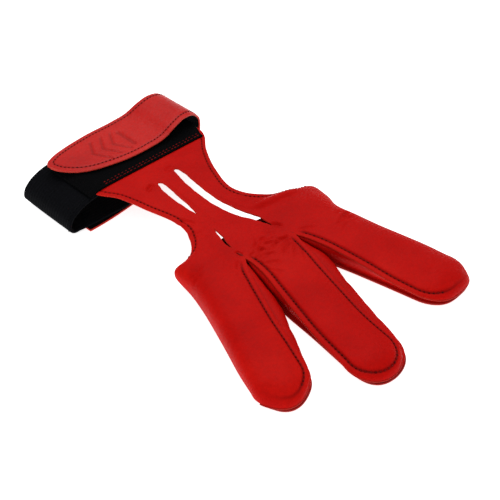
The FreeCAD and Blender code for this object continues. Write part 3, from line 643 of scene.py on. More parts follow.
def gusset_bottom(name, spokes):
    """Where a stall's gusset meets the palm leather, for each of the back's spokes."""
    result = np.zeros_like(spokes["edge"])
    last = {}
    for table, sign in ((BOTTOM_RIGHT, 1), (BOTTOM_LEFT, -1)):
        local = np.array([(x, s, z) for s, x, z in table[name]], float)
        knots = ROW_SHIFT[name] + local[:, 1]
        mine = spokes["side"] == sign
        result[mine] = curve(knots, STALL[name].points(local), np.clip(spokes["v"][mine], knots[0], None))
        last[sign] = result[mine][-1 if sign > 0 else 0]
    tip = spokes["side"] == 0
    turn = spokes["turn"][tip]
    middle = 0.5 * (last[1] + last[-1])
    shift = (spokes["crest"][tip] - middle) * np.sin(np.radians(turn))[:, None] ** 2
    result[tip] = middle + shift + fan(name, middle, last[1], last[-1], PALM_REACH, turn)
    result[tip, 2] = PALM_UP
    return result


def gusset(name, label, mine, slots):
    """A strip sewn between back and palm: its lip lies under the back's, and its wall bellies out below.

    Down the strip run a straight lip, a cubic whose two handles push it outwards, and the lower lip.
    """
    spokes = {key: value[mine] for key, value in BACK[name].items()}
    top = spokes["edge"]
    bottom = gusset_bottom(name, BACK[name])[mine]
    flat = np.array([1.0, 1.0, 0.0])
    out = unit((top - spokes["crest"]) * flat)
    tuck = (LIP + 0.1) * smooth(CROTCH - 5, CROTCH + 4, spokes["v"])[:, None]
    drop = LEATHER + 0.04
    lip = top + (0.35 - drop) * UP
    inner = top - out * tuck + (0.25 - drop) * UP
    foot = bottom - out * 1.2 + 0.5 * UP
    end = bottom + 0.05 * UP
    fall = np.maximum(inner[:, 2:] - foot[:, 2:], 0.1)
    spread = np.sum((foot - inner) * out, axis=1, keepdims=True)
    first = inner + out * (0.75 * np.maximum(spread, 0) + 2.7) - 0.05 * fall * UP
    second = foot + out * 1.5 + 0.55 * fall * UP
    t = np.linspace(0, 1, 18)[None, :, None]
    wall = ((1 - t) ** 3 * inner[:, None] + 3 * (1 - t) ** 2 * t * first[:, None]
            + 3 * (1 - t) * t**2 * second[:, None] + t**3 * foot[:, None])
    u = np.linspace(0, 1, 5)[None, :-1, None]
    upper = lip[:, None] + u * (inner - lip)[:, None]
    w = np.linspace(0, 1, 4)[None, 1:, None]
    lower = foot[:, None] + w * (end - foot)[:, None]
    spots = np.concatenate([upper, wall, lower], axis=1)
    # Painted shade: darker under the back's lip at the wall's top, and at its foot by the palm seam.
    dark = np.repeat([0.3, 0.4, 0.3, 0.15, 0.05, 0.0, 0.4], [4, 1, 1, 1, 1, 14, 3])
    belly = np.sin(np.pi * np.linspace(0, 1, 18))
    wander = 0.3 * ripple(spokes["v"], 2.3 + len(label), 21.0)[:, None] * belly
    spots[:, 4:22] += wander[..., None] * out[:, None]
    rows, columns = spots.shape[:2]
    quads = grid_faces(rows, columns)[:, ::-1]
    marks = {"painted_shade": np.tile(dark, rows)}
    hide = Hide(spots.reshape(-1, 3), quads, np.zeros(len(quads), int), GUSSET_LEATHER, marks)
    return hide.show(label, [0], slots)


# ---------------------------------------------------------------- stitches

def stitch_row(name, path, facing, pitch, length, thick, material, lead=0.0):
    """One piece of separate stitches: slim spindles of six rings, dipping into the leather at both ends."""
    run = run_along(path)
    count = int((run[-1] - 2 * lead) / pitch)
    centre = lead + pitch * (np.arange(count) + 0.5)
    at = between(centre, run, path)
    along = unit(between(centre + 0.4, run, path) - at)
    across = unit(np.cross(unit(between(centre, run, facing)), along))
    up = np.cross(along, across)
    t = np.array([-0.5, -0.38, -0.16, 0.16, 0.38, 0.5])
    girth = thick / 2 * np.array([0.35, 0.85, 1.0, 1.0, 0.85, 0.35])
    height = thick * (0.30 - 2.6 * t**2)
    angle = np.arange(6) * np.pi / 3
    ring_x = np.repeat(t * length, 6)
    ring_y = (girth[:, None] * np.cos(angle)).ravel()
    ring_z = (girth[:, None] * np.sin(angle) + height[:, None]).ravel()
    spots = (at[:, None] + ring_x[None, :, None] * along[:, None] + ring_y[None, :, None] * across[:, None]
             + ring_z[None, :, None] * up[:, None])
    i, j = np.meshgrid(np.arange(5), np.arange(6), indexing="ij")
    a, b = (i * 6 + j).ravel(), (i * 6 + (j + 1) % 6).ravel()
    tube = np.stack([a, a + 6, b + 6, b], axis=1)[:, ::-1]
    ends = np.array([[0, 1, 2, 3], [0, 3, 4, 5], [33, 32, 31, 30], [35, 34, 33, 30]])[:, ::-1]
    template = np.concatenate([tube, ends])
    faces = (template[None] + 36 * np.arange(count)[:, None, None]).reshape(-1, 4)
    return make_object(name, spots.reshape(-1, 3), faces, slots=[material])


def row_on_back(name, mine, inset=LIP):
    """The line at a distance in from a strip's cut edge, on its grain side, with the way up there."""
    spokes = {key: value[mine] for key, value in BACK[name].items()}
    fine = np.linspace(0, 1, 121)[None, :]
    spots, _ = spoke_surface(spokes, fine)
    reach = np.linalg.norm((spots - spokes["edge"][:, None])[..., :2], axis=-1)
    pick = np.argmin(np.abs(reach - inset), axis=1)
    rows = np.arange(len(pick))
    path = spots[rows, pick]
    down = spots[rows, np.clip(pick + 3, 0, 120)] - spots[rows, pick - 3]
    along = np.gradient(path, axis=0)
    return path, unit(np.cross(down, along))


# ---------------------------------------------------------------- the cuff

def cuff_points(u, v, z):
    """Points in the glove's frame from distances round the wrist, along the arm, and up."""
    return CUFF.points(np.stack(np.broadcast_arrays(u, v, z), axis=-1))


def length_line(spots, step):
    """A smooth line through (round, up) points, sampled evenly along its own length."""
    spots = np.array(spots, float)
    knots = run_along(spots)
    dense = curve(knots, spots, np.linspace(0, knots[-1], 800))
    run = run_along(dense)
    at = np.linspace(0, run[-1], int(run[-1] / step) + 1)
    return between(at, run, dense), at


def outward_of(line):
    """The way out of the cuff at each point of a line round the wrist, square to the line."""
    tangent = unit(np.gradient(line, axis=0))
    return cuff_points(-tangent[:, 1], 0, tangent[:, 0]) - CUFF.origin


def band(line, low, high, columns):
    """A strip round the wrist between its near and far edges, and how far along the arm each point lies."""
    v = low[:, None] + np.linspace(0, 1, columns)[None, :] * (high - low)[:, None]
    return cuff_points(line[:, 0:1], v, line[:, 1:2]), v


def grid_hide(spots, thickness, zone=None, marks=None):
    """A hide made of one grid, outer side on the left of its rows, in one zone unless each row's is given."""
    rows, columns = spots.shape[:2]
    zones = np.repeat(np.zeros(rows - 1, int) if zone is None else zone, columns - 1)
    return Hide(spots.reshape(-1, 3), grid_faces(rows, columns), zones, thickness, marks)


# ---------------------------------------------------------------- materials

def rgb(code):
    """A linear colour from an sRGB hex code."""
    parts = [int(code[k:k + 2], 16) / 255 for k in (1, 3, 5)]
    return (*[c / 12.92 if c <= 0.04045 else ((c + 0.055) / 1.055) ** 2.4 for c in parts], 1.0)


def add(tree, kind, inputs=None, stops=(), **settings):
    """Adds a node: sets its options, sets or links its inputs, and gives a ramp its (place, code) stops."""
    made = tree.nodes.new(kind)
    for key, value in settings.items():
        if hasattr(made, key):
            setattr(made, key, value)
        else:
            made.inputs[key.replace("_", " ")].default_value = value
    for key, value in (inputs or {}).items():
        if isinstance(value, bpy.types.NodeSocket):
            tree.links.new(value, made.inputs[key])
        else:
            made.inputs[key].default_value = value
    if stops:
        elements = made.color_ramp.elements
        for element, (place, code) in zip(list(elements), (stops[0], stops[-1])):
            element.position = place
            element.color = rgb(code)
        for place, code in stops[1:-1]:
            elements.new(place).color = rgb(code)
    return made


def new_material(name):
    """An empty node material, its tree, and the piece's own coordinates at rest."""
    made = bpy.data.materials.new(name)
    made.use_nodes = True
    tree = made.node_tree
    tree.nodes.clear()
    return made, tree, add(tree, "ShaderNodeAttribute", attribute_name="rest").outputs["Vector"]


def finished(made, shader):
    """The material with this shader as its surface."""
    add(made.node_tree, "ShaderNodeOutputMaterial", {"Surface": shader.outputs[0]})
    return made


RAW_HIGHLIGHT_SHARE = 0.3    # how much of the raw edge's paler colour, partly a painted highlight, shows on a cut
FOLD_SHADE = 0.9    # how much painted shade darkens the deepest fold of crumpled leather
WAVE = 1000 / 20 * math.pi    # a Wave texture's scale for bands a millimetre apart


def leather(name, deep, middle, light, painted_shade, edge, rough=0.5, grain_mm=0.8, grain=0.14, sheen=0.0,
            shine=0.08):
    """Drum-dyed lambskin: soft tonal patches, pores about a millimetre apart, a satin face.

    Painted shade darkens the stitched grooves and the folds of crumpled leather, and a raw cut edge shows
    paler, partly as a painted highlight.
    """
    made, tree, rest = new_material(name)
    groove_shade_mark, soft_mark, raw = (add(tree, "ShaderNodeAttribute", attribute_name=mark).outputs["Fac"]
                                   for mark in ("painted_shade", "crumple", "raw_edge_highlight"))
    patches = add(tree, "ShaderNodeTexNoise", {"Vector": rest}, Scale=1000 / 24, Detail=2.0, Roughness=0.5)
    fleck = add(tree, "ShaderNodeTexNoise", {"Vector": rest}, Scale=1000 / 1.6, Detail=4.0, Roughness=0.6)
    folds = add(tree, "ShaderNodeTexNoise", {"Vector": rest}, noise_type="RIDGED_MULTIFRACTAL",
                Scale=1000 / 7.5, Detail=5.0, Roughness=0.6, Distortion=0.9)
    tone = add(tree, "ShaderNodeValToRGB", {"Fac": patches.outputs["Fac"]},
               ((0.3, deep), (0.5, middle), (0.72, light)))
    fleck_tone = add(tree, "ShaderNodeValToRGB", {"Fac": fleck.outputs["Fac"]},
                     ((0.35, "#E2E2E2"), (0.65, "#FFFFFF")))
    fold_lines = add(tree, "ShaderNodeMapRange", {"Value": folds.outputs["Fac"]}, From_Min=0.45, From_Max=1.4,
                     To_Min=0.15)
    fold_share = add(tree, "ShaderNodeMath", {0: fold_lines.outputs["Result"], 1: soft_mark},
                     operation="MULTIPLY")
    # Painted shade in the folds of crumpled leather.
    fold_shade = add(tree, "ShaderNodeMath", {0: fold_share.outputs[0], 1: FOLD_SHADE},
                    operation="MULTIPLY").outputs[0]
    raw_highlight_share = add(tree, "ShaderNodeMath", {0: raw, 1: RAW_HIGHLIGHT_SHARE}, operation="MULTIPLY").outputs[0]
    colour = tone
    # Painted shade in the grooves and folds, and the raw edge's paler colour, partly a painted highlight.
    for share, over, blend in ((0.5, fleck_tone.outputs["Color"], "MULTIPLY"),
                               (groove_shade_mark, rgb(painted_shade), "MIX"),
                               (fold_shade, rgb(painted_shade), "MIX"), (raw_highlight_share, rgb(edge), "MIX")):
        under = colour.outputs["Color" if colour is tone else 2]
        colour = add(tree, "ShaderNodeMix", {0: share, 6: under, 7: over}, data_type="RGBA", blend_type=blend)
    pores = add(tree, "ShaderNodeTexVoronoi", {"Vector": rest}, Scale=1000 / grain_mm, Randomness=0.9)
    wrinkle = add(tree, "ShaderNodeTexNoise", {"Vector": rest}, Scale=1000 / 3.2, Detail=5.0, Roughness=0.62,
                  Distortion=0.8)
    soft = add(tree, "ShaderNodeBump", {"Height": wrinkle.outputs["Fac"]}, Strength=grain * 2.2,
               Distance=0.0006)
    folded = add(tree, "ShaderNodeBump", {"Height": fold_share.outputs[0], "Normal": soft.outputs["Normal"]},
                 Strength=1.0, Distance=0.0007, invert=True)
    bump = add(tree, "ShaderNodeBump", {"Height": pores.outputs["Distance"],
                                        "Normal": folded.outputs["Normal"]},
               Strength=grain, Distance=0.0004)
    gloss = add(tree, "ShaderNodeMapRange", {"Value": fleck.outputs["Fac"]}, To_Min=rough - 0.06,
                To_Max=rough + 0.1)
    shader = add(tree, "ShaderNodeBsdfPrincipled",
                 {"Base Color": colour.outputs[2], "Normal": bump.outputs["Normal"],
                  "Sheen Tint": rgb("#FF9A90"), "Roughness": gloss.outputs["Result"],
                  "Specular IOR Level": shine},
                 IOR=1.45, Sheen_Weight=sheen, Sheen_Roughness=0.45)
    return finished(made, shader)


def cloth(name, dark, light, rough, warp_mm, weft_mm, depth):
    """Woven or knitted polyester: fine cords along it crossed by a closer weft, near black and dull."""
    made, tree, rest = new_material(name)
    turned = add(tree, "ShaderNodeMapping", {"Vector": rest},
                 Rotation=(0, 0, -math.atan2(CUFF.across[1], CUFF.across[0]))).outputs[0]
    cords = add(tree, "ShaderNodeTexWave", {"Vector": turned}, bands_direction="Y", Scale=WAVE / warp_mm)
    weft = add(tree, "ShaderNodeTexWave", {"Vector": turned}, bands_direction="X", Scale=WAVE / weft_mm)
    fuzz = add(tree, "ShaderNodeTexNoise", {"Vector": rest}, Scale=1000 / 0.8, Detail=3.0)
    tone = add(tree, "ShaderNodeValToRGB", {"Fac": fuzz.outputs["Fac"]}, ((0.3, dark), (0.7, light)))
    first = add(tree, "ShaderNodeBump", {"Height": cords.outputs["Fac"]}, Strength=depth, Distance=0.0005)
    second = add(tree, "ShaderNodeBump", {"Height": weft.outputs["Fac"], "Normal": first.outputs["Normal"]},
                 Strength=depth * 0.5, Distance=0.0003)
    return finished(made, add(tree, "ShaderNodeBsdfPrincipled", {
        "Base Color": tone.outputs["Color"], "Normal": second.outputs["Normal"], "Specular IOR Level": 0.05},
        Roughness=rough, IOR=1.45))


def pile(name, dark, light, size_mm, depth):
    """Knitted loop or hook tape: a dense field of tiny loops, black and dull, with painted shade between
    them.
    """
    made, tree, rest = new_material(name)
    loops = add(tree, "ShaderNodeTexVoronoi", {"Vector": rest}, Scale=1000 / size_mm).outputs["Distance"]
    tone = add(tree, "ShaderNodeValToRGB", {"Fac": loops}, ((0.0, light), (0.6, dark)))
    bump = add(tree, "ShaderNodeBump", {"Height": loops}, Strength=depth, Distance=0.0006, invert=True)
    return finished(made, add(tree, "ShaderNodeBsdfPrincipled", {
        "Base Color": tone.outputs["Color"], "Normal": bump.outputs["Normal"], "Specular IOR Level": 0.05},
        Roughness=0.9))


def thread(name, dark, light, twist_mm):
    """Twisted bonded nylon thread: slanting plies with painted shade between them, and a soft shine."""
    made, tree, rest = new_material(name)
    plies = add(tree, "ShaderNodeTexWave", {"Vector": rest}, bands_direction="DIAGONAL",
                Scale=WAVE / twist_mm).outputs["Fac"]
    tone = add(tree, "ShaderNodeValToRGB", {"Fac": plies}, ((0.2, dark), (0.8, light)))
    bump = add(tree, "ShaderNodeBump", {"Height": plies}, Strength=0.4, Distance=0.0002)
    return finished(made, add(tree, "ShaderNodeBsdfPrincipled", {
        "Base Color": tone.outputs["Color"], "Normal": bump.outputs["Normal"], "Specular IOR Level": 0.06},
        Roughness=0.55))


RED = leather("dyed_lambskin", "#B80804", "#C30B06", "#CB120A", "#6E0302", "#C23A2C", shine=0.05)
GUSSET_RED = leather("dyed_lambskin_gusset", "#B00703", "#C00A05", "#CB110A", "#5A0302", "#B8382C",
                     rough=0.52)
PALM_RED = leather("dyed_palm_leather", "#960B07", "#A40F0A", "#B01610", "#4A0505", "#A84036", rough=0.42,
                   grain_mm=1.2, shine=0.15)
STRAP_RED = leather("finished_strap_leather", "#BC0E0A", "#C6130D", "#CE1A13", "#560505", "#D86050",
                    rough=0.38,
                    grain_mm=1.1, grain=0.17, shine=0.16)
SUEDE = leather("flesh_side_suede", "#6E110E", "#7C1612", "#8A1F1A", "#4A0706", "#A8443C", rough=0.85,
                grain=0.3,
                sheen=0.2)
ELASTIC = cloth("woven_elastic", "#040406", "#0A0B0F", 0.8, 0.9, 0.6, 0.2)
LINING_BLACK = cloth("knit_lining", "#030304", "#08080B", 0.9, 0.5, 0.5, 0.3)
LOOP = pile("loop_pile_tape", "#020203", "#07070A", 0.5, 0.6)
HOOK = pile("hook_tape", "#020203", "#0B0B0E", 0.8, 0.9)
THREAD = thread("bonded_nylon_thread", "#4A0303", "#740A09", 0.45)
DARK_THREAD = thread("black_nylon_thread", "#040405", "#101014", 0.45)
RED_THREAD = thread("red_nylon_thread", "#5A0707", "#8C1210", 0.45)


# ---------------------------------------------------------------- pieces

def show_back():
    """The back in its zones, hiding the CAD plates it stands for."""
    hide = back_hide()
    slots = [RED, SUEDE]
    web = hide.show("web_back_leather", [WEB_ZONE], slots)
    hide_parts("web_panel", "cuff_back_leather")
    knuckles = hide.show("knuckle_back_leather", [KNUCKLE_ZONE], slots)
    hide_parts("knuckle_back", "index_knuckle_side", "ring_knuckle_side")
    stalls = {}
    for name in FINGERS:
        stalls[name] = hide.show(name + "_back_leather", [STALL_ZONE[name]], slots)
        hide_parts(name + "_back_base", name + "_back_tip")
        if name != "middle":
            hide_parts(name + "_outer_side_base", name + "_outer_side_tip")
    return web, knuckles, stalls


def metres(spot):
    """A point as a tuple in metres."""
    return tuple(float(c) * MM for c in spot)


def blend_wrist(piece):
    """Works out two points just past the loop patch, without using them, and bakes a piece's transform into
    its mesh.
    """
    metres(cuff_points(0, 17, 18))
    metres(cuff_points(0, 30, 18))
    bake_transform(piece)


def blend_knuckles(piece):
    """Works out two points either side of the knuckle fold, without using them, and bakes a piece's
    transform.
    """
    metres(HAND.points((0, -14, 12)))
    metres(HAND.points((0, -1, 12)))
    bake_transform(piece)


def blend_stall(piece, name):
    """Works out two points 8 mm each side of a stall's fold, without using them, and bakes a piece's
    transform.
    """
    place, bend = STALL[name], BEND_AT[name]
    metres(place.points((0, bend - 8, 6)))
    metres(place.points((0, bend + 8, 6)))
    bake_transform(piece)


def show_palm():
    """The palm leather and each stall's palm panel."""
    hide = palm_hide()
    slots = [PALM_RED, SUEDE]
    base = hide.show("palm_leather", [PALM_BASE_ZONE], slots)
    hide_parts("palm_panel")
    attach(base, "finger_base")
    for name in FINGERS:
        panel = hide.show(name + "_palm_leather", [STALL_ZONE[name]], slots)
        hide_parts(name + "_palm_base", name + "_palm_tip", name + "_tip_rim")
        blend_stall(panel, name)


def show_lining():
    """The black lining over the palm leather's inner side: a sheet a little smaller than the palm's base."""
    x = np.linspace(-43.5, 38, 84)
    share = np.linspace(0, 1, 22)
    near = np.interp(x, (-43.5, 38), (-7.0, 0.6))
    y = near[:, None] + share[None, :] * (19.0 - near)[:, None]
    z = 2.0 + 0.15 * ripple(x, 4.2, 17.0)[:, None] + 0.10 * ripple(y, 1.3, 9.0)
    spots = mouth(HAND.points(np.stack(np.broadcast_arrays(x[:, None], y, z), axis=-1)))
    piece = grid_hide(spots, LINING).show("palm_lining_cloth", [0], [LINING_BLACK, LINING_BLACK])
    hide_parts("palm_lining")
    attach(piece, "finger_base")


def show_gussets():
    """The four gussets between the stalls, each from the palm's crotch round to its stall's end."""
    for name, label, side, first, last in (
            ("index", "index_gusset", 1, 0, 150), ("middle", "middle_index_gusset", -1, 90, 180),
            ("middle", "middle_ring_gusset", 1, 0, 90), ("ring", "ring_gusset", -1, 30, 180)):
        spokes = BACK[name]
        turn = spokes["turn"]
        along = (spokes["side"] == side) & (spokes["v"] > CROTCH - 5)
        round_end = (spokes["side"] == 0) & (turn >= first) & (turn <= last)
        piece = gusset(name, label + "_leather", along | round_end, [GUSSET_RED, SUEDE])
        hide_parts(label + "_base", label + "_tip")
        blend_stall(piece, name)


def show_seam_threads():
    """Stitches down every stall's outside seam and along the web's two free edges."""
    for name in FINGERS:
        spokes = BACK[name]
        seams = (spokes["v"] > CROTCH + 2) & (spokes["seam"] > 0.75)
        path, facing = row_on_back(name, seams)
        piece = stitch_row(name + "_seam_stitches", path - 0.02 * facing, facing, 2.0, 1.25, 0.72, THREAD,
                           0.5)
        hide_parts(name + "_tip_seam_thread")
        if name == "middle":
            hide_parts("stall_base_seam_threads")
        blend_stall(piece, name)
    for name, side, label in (("index", -1, "web_index_edge"), ("ring", 1, "web_ring_edge")):
        spokes = BACK[name]
        for ending, low, high, blend in (("_stitches", 34, WEB_END, blend_wrist),
                                         ("_knuckle_stitches", WEB_END, 97, blend_knuckles)):
            edge = (spokes["side"] == side) & (spokes["v"] > low) & (spokes["v"] < high)
            path, facing = row_on_back(name, edge)
            piece = stitch_row(label + ending, path, facing, 2.0, 1.25, 0.6, THREAD)
            if blend is blend_wrist:
                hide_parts(label + "_thread")
            blend(piece)


# The elastic runs askew under the wrist: its underside sits this much nearer the fingers.
ELASTIC_DRIFT = 0.9
ELASTIC_NEAR, ELASTIC_FAR = -18.6, 17.0    # its edges along the arm
# The elastic's line as (round, up), from the top of the cuff over the little-finger side and back.
ELASTIC_LINE = ((14, 16.6), (24, 16.9), (33, 16.4), (39.5, 14.6), (44.3, 11.9), (47.3, 8.4), (47.9, 4.6),
                (46, 2.2), (41.5, 1.85), (34, 1.85), (24, 1.85), (14, 1.85))
# The strap's line, from under the wrist round the index side and over the top to the tab's rounded end.
STRAP_LINE = ((38, 0.05), (14, 0.05), (-10, 0.05), (-26, 0.05), (-36, 1.2), (-42.6, 6.5), (-44.4, 13),
              (-43.6, 20), (-38.8, 25), (-31, 26.6), (-24, 25.2), (-17, 22.8), (-8, 21.9), (10, 21.6),
              (28, 21.4), (36, 21.2))
# The tab's tongue: distance from its end, then its near and far edges along the arm.
TONGUE = ((0, -11.6, -9.8), (0.6, -13.4, -7.4), (1.6, -14.5, -4.9), (4.2, -15.9, -1.2), (8, -17.2, 2.4),
          (14, -18.4, 5.6), (21, -19.4, 7.6), (30, -20.2, 9.3), (45, -20.3, 9.9), (134, -20, 10.4),
          (150, -19.4, 16.5), (160, -19, 18), (230, -19, 18.2))


def show_elastic():
    """The wide elastic: a woven band, its line sampled evenly, and the row of stitches near its far edge."""
    line, at = length_line(ELASTIC_LINE, 0.8)
    drift = ELASTIC_DRIFT * smooth(45, 33, line[:, 0]) * (line[:, 1] < 5)
    spots, _ = band(line, drift + ELASTIC_NEAR, drift + ELASTIC_FAR, 46)
    outward = outward_of(line)
    waves = 0.35 * ripple(at, 3.3, 26.0)[:, None] * np.sin(np.pi * np.linspace(0, 1, 46))
    spots = spots + waves[..., None] * outward[:, None, :]
    hide = grid_hide(spots, 1.6)
    piece = hide.show("wrist_elastic_band", [0], [ELASTIC, ELASTIC])
    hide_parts("wrist_elastic")
    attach(piece, "cuff")
    path = spots[:, -3] + 0.02
    row = stitch_row("elastic_stitches", path, outward, 2.2, 1.5, 0.42, DARK_THREAD, 14.0)
    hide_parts("elastic_threads")
    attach(row, "cuff")


PATCH_NEAR, PATCH_FAR = -13.5, 17.6    # the loop patch's edges along the arm
PATCH_BASE = 18.45                     # its underside


def show_patch():
    """The loop patch sewn to the cuff's back, pressed in round its edge, with two rows of stitches."""
    across = np.linspace(0, 1, 92)[:, None]
    v = np.linspace(PATCH_NEAR, PATCH_FAR, 44)
    # Its end by the strap is cut on a slant, to follow the web's edge.
    first = 3.8 * smooth(6.0, PATCH_FAR, v)[None, :] - 38.2
    last = 34.5
    gu, gv = np.broadcast_arrays(first + across * (last - first), v[None, :])
    inset = np.minimum.reduce([gu - first, last - gu, gv - v[0], v[-1] - gv])
    z = PATCH_BASE + 1.0 - 0.15 * np.exp(-((inset - 1.0) / 0.6) ** 2) - 0.2 * np.exp(-(inset / 0.6) ** 2)
    z += 0.08 * ripple(gu, 6.1, 19.0) - 2.0 * smooth(27.5, 35.5, gu)
    spots = cuff_points(gu, gv, z)
    piece = grid_hide(spots, 1.0).show("loop_patch_tape", [0], [LOOP, LOOP])
    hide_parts("loop_patch")
    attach(piece, "cuff")
    rows = []
    for k, inset_mm in enumerate((0.95, 2.5)):
        line = cuff_points(np.linspace(-33.4, 26.5, 130), PATCH_FAR - inset_mm, PATCH_BASE + 0.86)
        rows.append(stitch_row(f"loop_patch_stitches_{k + 1}", line, np.broadcast_to(UP, line.shape), 2.1,
                               1.45, 0.4,
                               RED_THREAD))
    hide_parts("loop_patch_threads")
    for row in rows:
        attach(row, "cuff")


MARK_MIDDLE = -4.0    # the ornament's middle, across the tab


def press_mark(u, v):
    """A pressed ornament on the tab: three nested chevrons and a bar, as a depth field in millimetres."""
    depth = np.zeros(np.broadcast(u, v).shape)
    aside = np.abs(v - MARK_MIDDLE)
    for centre in (4.0, 10.0, 16.0):
        line = np.abs(u - centre + 0.55 * aside)
        inside = smooth(9.5, 8.5, aside)
        depth += 0.5 * (np.exp(-(line / 0.8) ** 2) - 0.35 * np.exp(-((line - 1.6) / 0.6) ** 2)) * inside
    bar = np.maximum(np.abs(u + 4.0) - 0.2, 0) + np.maximum(aside - 7.0, 0)
    return depth + 0.5 * np.exp(-(bar / 0.8) ** 2)


def tongue_outline(at, low, high):
    """The strap's outline laid flat, as evenly spaced (along, across) points up one edge and back."""
    rim = np.concatenate([np.stack([at, low], axis=1), np.stack([at, high], axis=1)[::-1]])
    run = run_along(rim)
    return between(np.linspace(0, run[-1], int(run[-1] / 0.5)), run, rim)


def on_grid(spots, row, column):
    """Points between a grid's vertices, by fractional row and column."""
    i = np.clip(row.astype(int), 0, spots.shape[0] - 2)
    j = np.clip(column.astype(int), 0, spots.shape[1] - 2)
    a, b = (row - i)[:, None], (column - j)[:, None]
    return ((1 - a) * (1 - b) * spots[i, j] + a * (1 - b) * spots[i + 1, j]
            + (1 - a) * b * spots[i, j + 1] + a * b * spots[i + 1, j + 1])


TAB_INSET = 2.4      # from the tab's edge in to its stitches
TAB_LENGTH = 88.0    # how far back from the tab's end they run


def strap_surface(line, at, low, high, columns):
    """The strap with its tab: a pressed ornament, a channel under its stitches, and its edge turned down."""
    spots, v = band(line, low, high, columns)
    rim = tongue_outline(at, low, high)
    gap = np.stack(np.broadcast_arrays(at[:, None], v), axis=-1)[:, :, None] - rim[None, None, ::2]
    inset = np.linalg.norm(gap, axis=-1).min(axis=2)
    outward = outward_of(line)
    u = line[:, 0:1]
    on_tab = smooth(TAB_LENGTH + 8, TAB_LENGTH - 7, at[-1] - at)[:, None]
    pressed = press_mark(u, v) * on_tab
    depth = -0.28 * np.exp(-((inset - TAB_INSET) / 0.5) ** 2) * on_tab - pressed
    depth += 0.25 * ripple(at, 8.8, 33.0)[:, None] * np.sin(np.pi * np.linspace(0, 1, columns))[None, :]
    depth -= 0.35 * np.exp(-(inset / 1.2) ** 2) * on_tab
    # Painted shade in the channel under the tab's stitches and in the pressed ornament.
    painted_shade = np.exp(-((inset - TAB_INSET) / 0.45) ** 2) * on_tab * 0.6 + 0.7 * pressed
    return spots + depth[..., None] * outward[:, None, :], outward, np.clip(painted_shade, 0, 1)


def show_strap():
    """The wrist strap in two zones, its lining and hook tape, and the stitches round its tab."""
    line, at = length_line(STRAP_LINE, 0.7)
    end = at[-1]
    tongue = np.array(TONGUE)
    low, high = curve(np.sqrt(tongue[:, 0]), tongue[:, 1:], np.sqrt(end - at)).T
    spots, outward, painted_shade = strap_surface(line, at, low, high, 52)
    split = np.argmax(line[:, 1] > 13)
    zone = (np.arange(len(at) - 1) >= split).astype(int)
    hide = grid_hide(spots, LEATHER, zone, {"painted_shade": painted_shade.ravel()})
    slots = [STRAP_RED, LINING_BLACK]
    under = hide.show("under_strap_red_leather", [0], slots)
    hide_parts("under_strap_leather")
    tab = hide.show("strap_tab_red_leather", [1], slots)
    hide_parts("strap_tab_leather", "strap_side_leather")
    inner = spots - outward[:, None, :] * (LEATHER + 0.05)
    stop = np.argmax(at > end - 62)
    low_lining, high_lining = inner[:split + 1, 1:-1], inner[split:stop, 1:-1]
    line_low = grid_hide(low_lining, LINING).show("under_strap_black_lining", [0],
                                                  [LINING_BLACK, LINING_BLACK])
    line_high = grid_hide(high_lining, LINING).show("strap_side_black_lining", [0],
                                                    [LINING_BLACK, LINING_BLACK])
    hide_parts("under_strap_lining")
    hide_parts("strap_side_lining")
    hook = inner[stop + 4:-5, 5:-5]
    hook_piece = grid_hide(hook, 0.7).show("hook_tape_patch", [0], [HOOK, HOOK])
    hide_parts("hook_patch")
    rim = tongue_outline(at, low, high)
    ahead = unit(np.gradient(rim, axis=0))
    path = rim + TAB_INSET * np.stack([-ahead[:, 1], ahead[:, 0]], axis=1)
    first = end - TAB_LENGTH
    path = path[(path[:, 0] > first) & (rim[:, 0] > first)]
    row = path[:, 0] / at[1]
    near, far = np.interp(path[:, 0], at, low), np.interp(path[:, 0], at, high)
    column = (path[:, 1] - near) / (far - near) * (spots.shape[1] - 1)
    facing = between(row, np.arange(len(at)), outward)
    threads = stitch_row("tab_edge_stitches", on_grid(spots, row, column), facing, 2.0, 1.2, 0.55, THREAD)
    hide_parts("tab_edge_thread")
    for piece in (under, line_low):
        metres(cuff_points(-27, 0, 0.5))
        metres(cuff_points(-41, 0, 5))
        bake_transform(piece)
    for piece in (tab, line_high, hook_piece, threads):
        metres(cuff_points(-42, 0, 22))
        metres(cuff_points(-25, 0, 25))
        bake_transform(piece)


web, knuckles, stalls = show_back()
blend_wrist(web)
blend_knuckles(knuckles)
for stall_name, stall in stalls.items():
    blend_stall(stall, stall_name)
show_palm()
show_lining()
show_gussets()
show_seam_threads()
show_elastic()
show_patch()
show_strap()


# ---------------------------------------------------------------- floor, lights, camera

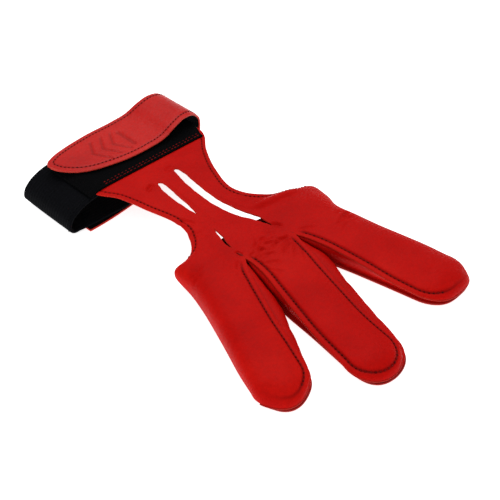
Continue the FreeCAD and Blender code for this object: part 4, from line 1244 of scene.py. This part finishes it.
def make_floor():
    """A wide pale floor just under the glove."""
    span = 3000.0
    corners = np.array([(-span, -span, -0.05), (span, -span, -0.05), (span, span, -0.05),
                        (-span, span, -0.05)])
    made, tree, _ = new_material("studio_floor")
    shader = add(tree, "ShaderNodeBsdfPrincipled",
                 {"Base Color": rgb("#FAFAFA"), "Specular IOR Level": 0.0, "Emission Color": rgb("#FFFFFF"),
                  "Emission Strength": 0.8}, Roughness=0.9)
    finished(made, shader)
    floor = make_object("floor", corners, np.array([[0, 1, 2, 3]]), slots=[made])


def make_light(name, spot, aim, size, power):
    """A square soft light in metres, pointed at a spot."""
    data = bpy.data.lights.new(name, "AREA")
    data.size, data.energy = size, power
    made = bpy.data.objects.new(name, data)
    bpy.context.scene.collection.objects.link(made)
    made.location = spot
    toward = np.array(aim) - np.array(spot)
    made.rotation_euler = Vector(toward).to_track_quat("-Z", "Y").to_euler()


CAMERA_AZIMUTH, CAMERA_HEIGHT, CAMERA_AWAY = math.radians(142.0), math.radians(40.0), 0.450
LENS, SENSOR = 71.3, 36.0


def make_camera():
    """The camera, aimed at the hand frame's origin on the ground from its azimuth and height."""
    back = Vector((math.sin(CAMERA_AZIMUTH) * math.cos(CAMERA_HEIGHT),
                      -math.cos(CAMERA_AZIMUTH) * math.cos(CAMERA_HEIGHT), math.sin(CAMERA_HEIGHT)))
    data = bpy.data.cameras.new("camera")
    data.lens, data.sensor_width = LENS, SENSOR
    camera = bpy.data.objects.new("camera", data)
    bpy.context.scene.collection.objects.link(camera)
    camera.location = Vector(metres(HAND.origin)) + back * CAMERA_AWAY
    camera.rotation_euler = (-back).to_track_quat("-Z", "Y").to_euler()
    bpy.context.scene.camera = camera


make_floor()
make_light("key", (-0.25, -0.35, 0.9), (0, 0, 0), 0.7, 4.5)
make_light("fill", (0.7, 0.5, 0.7), (0, 0, 0), 0.9, 1.8)
world = bpy.data.worlds.new("studio")
bpy.context.scene.world = world
world.use_nodes = True
world.node_tree.nodes["Background"].inputs["Color"].default_value = (1, 1, 1, 1)
world.node_tree.nodes["Background"].inputs["Strength"].default_value = 0.5
bpy.context.scene.view_settings.view_transform = "Standard"
make_camera()
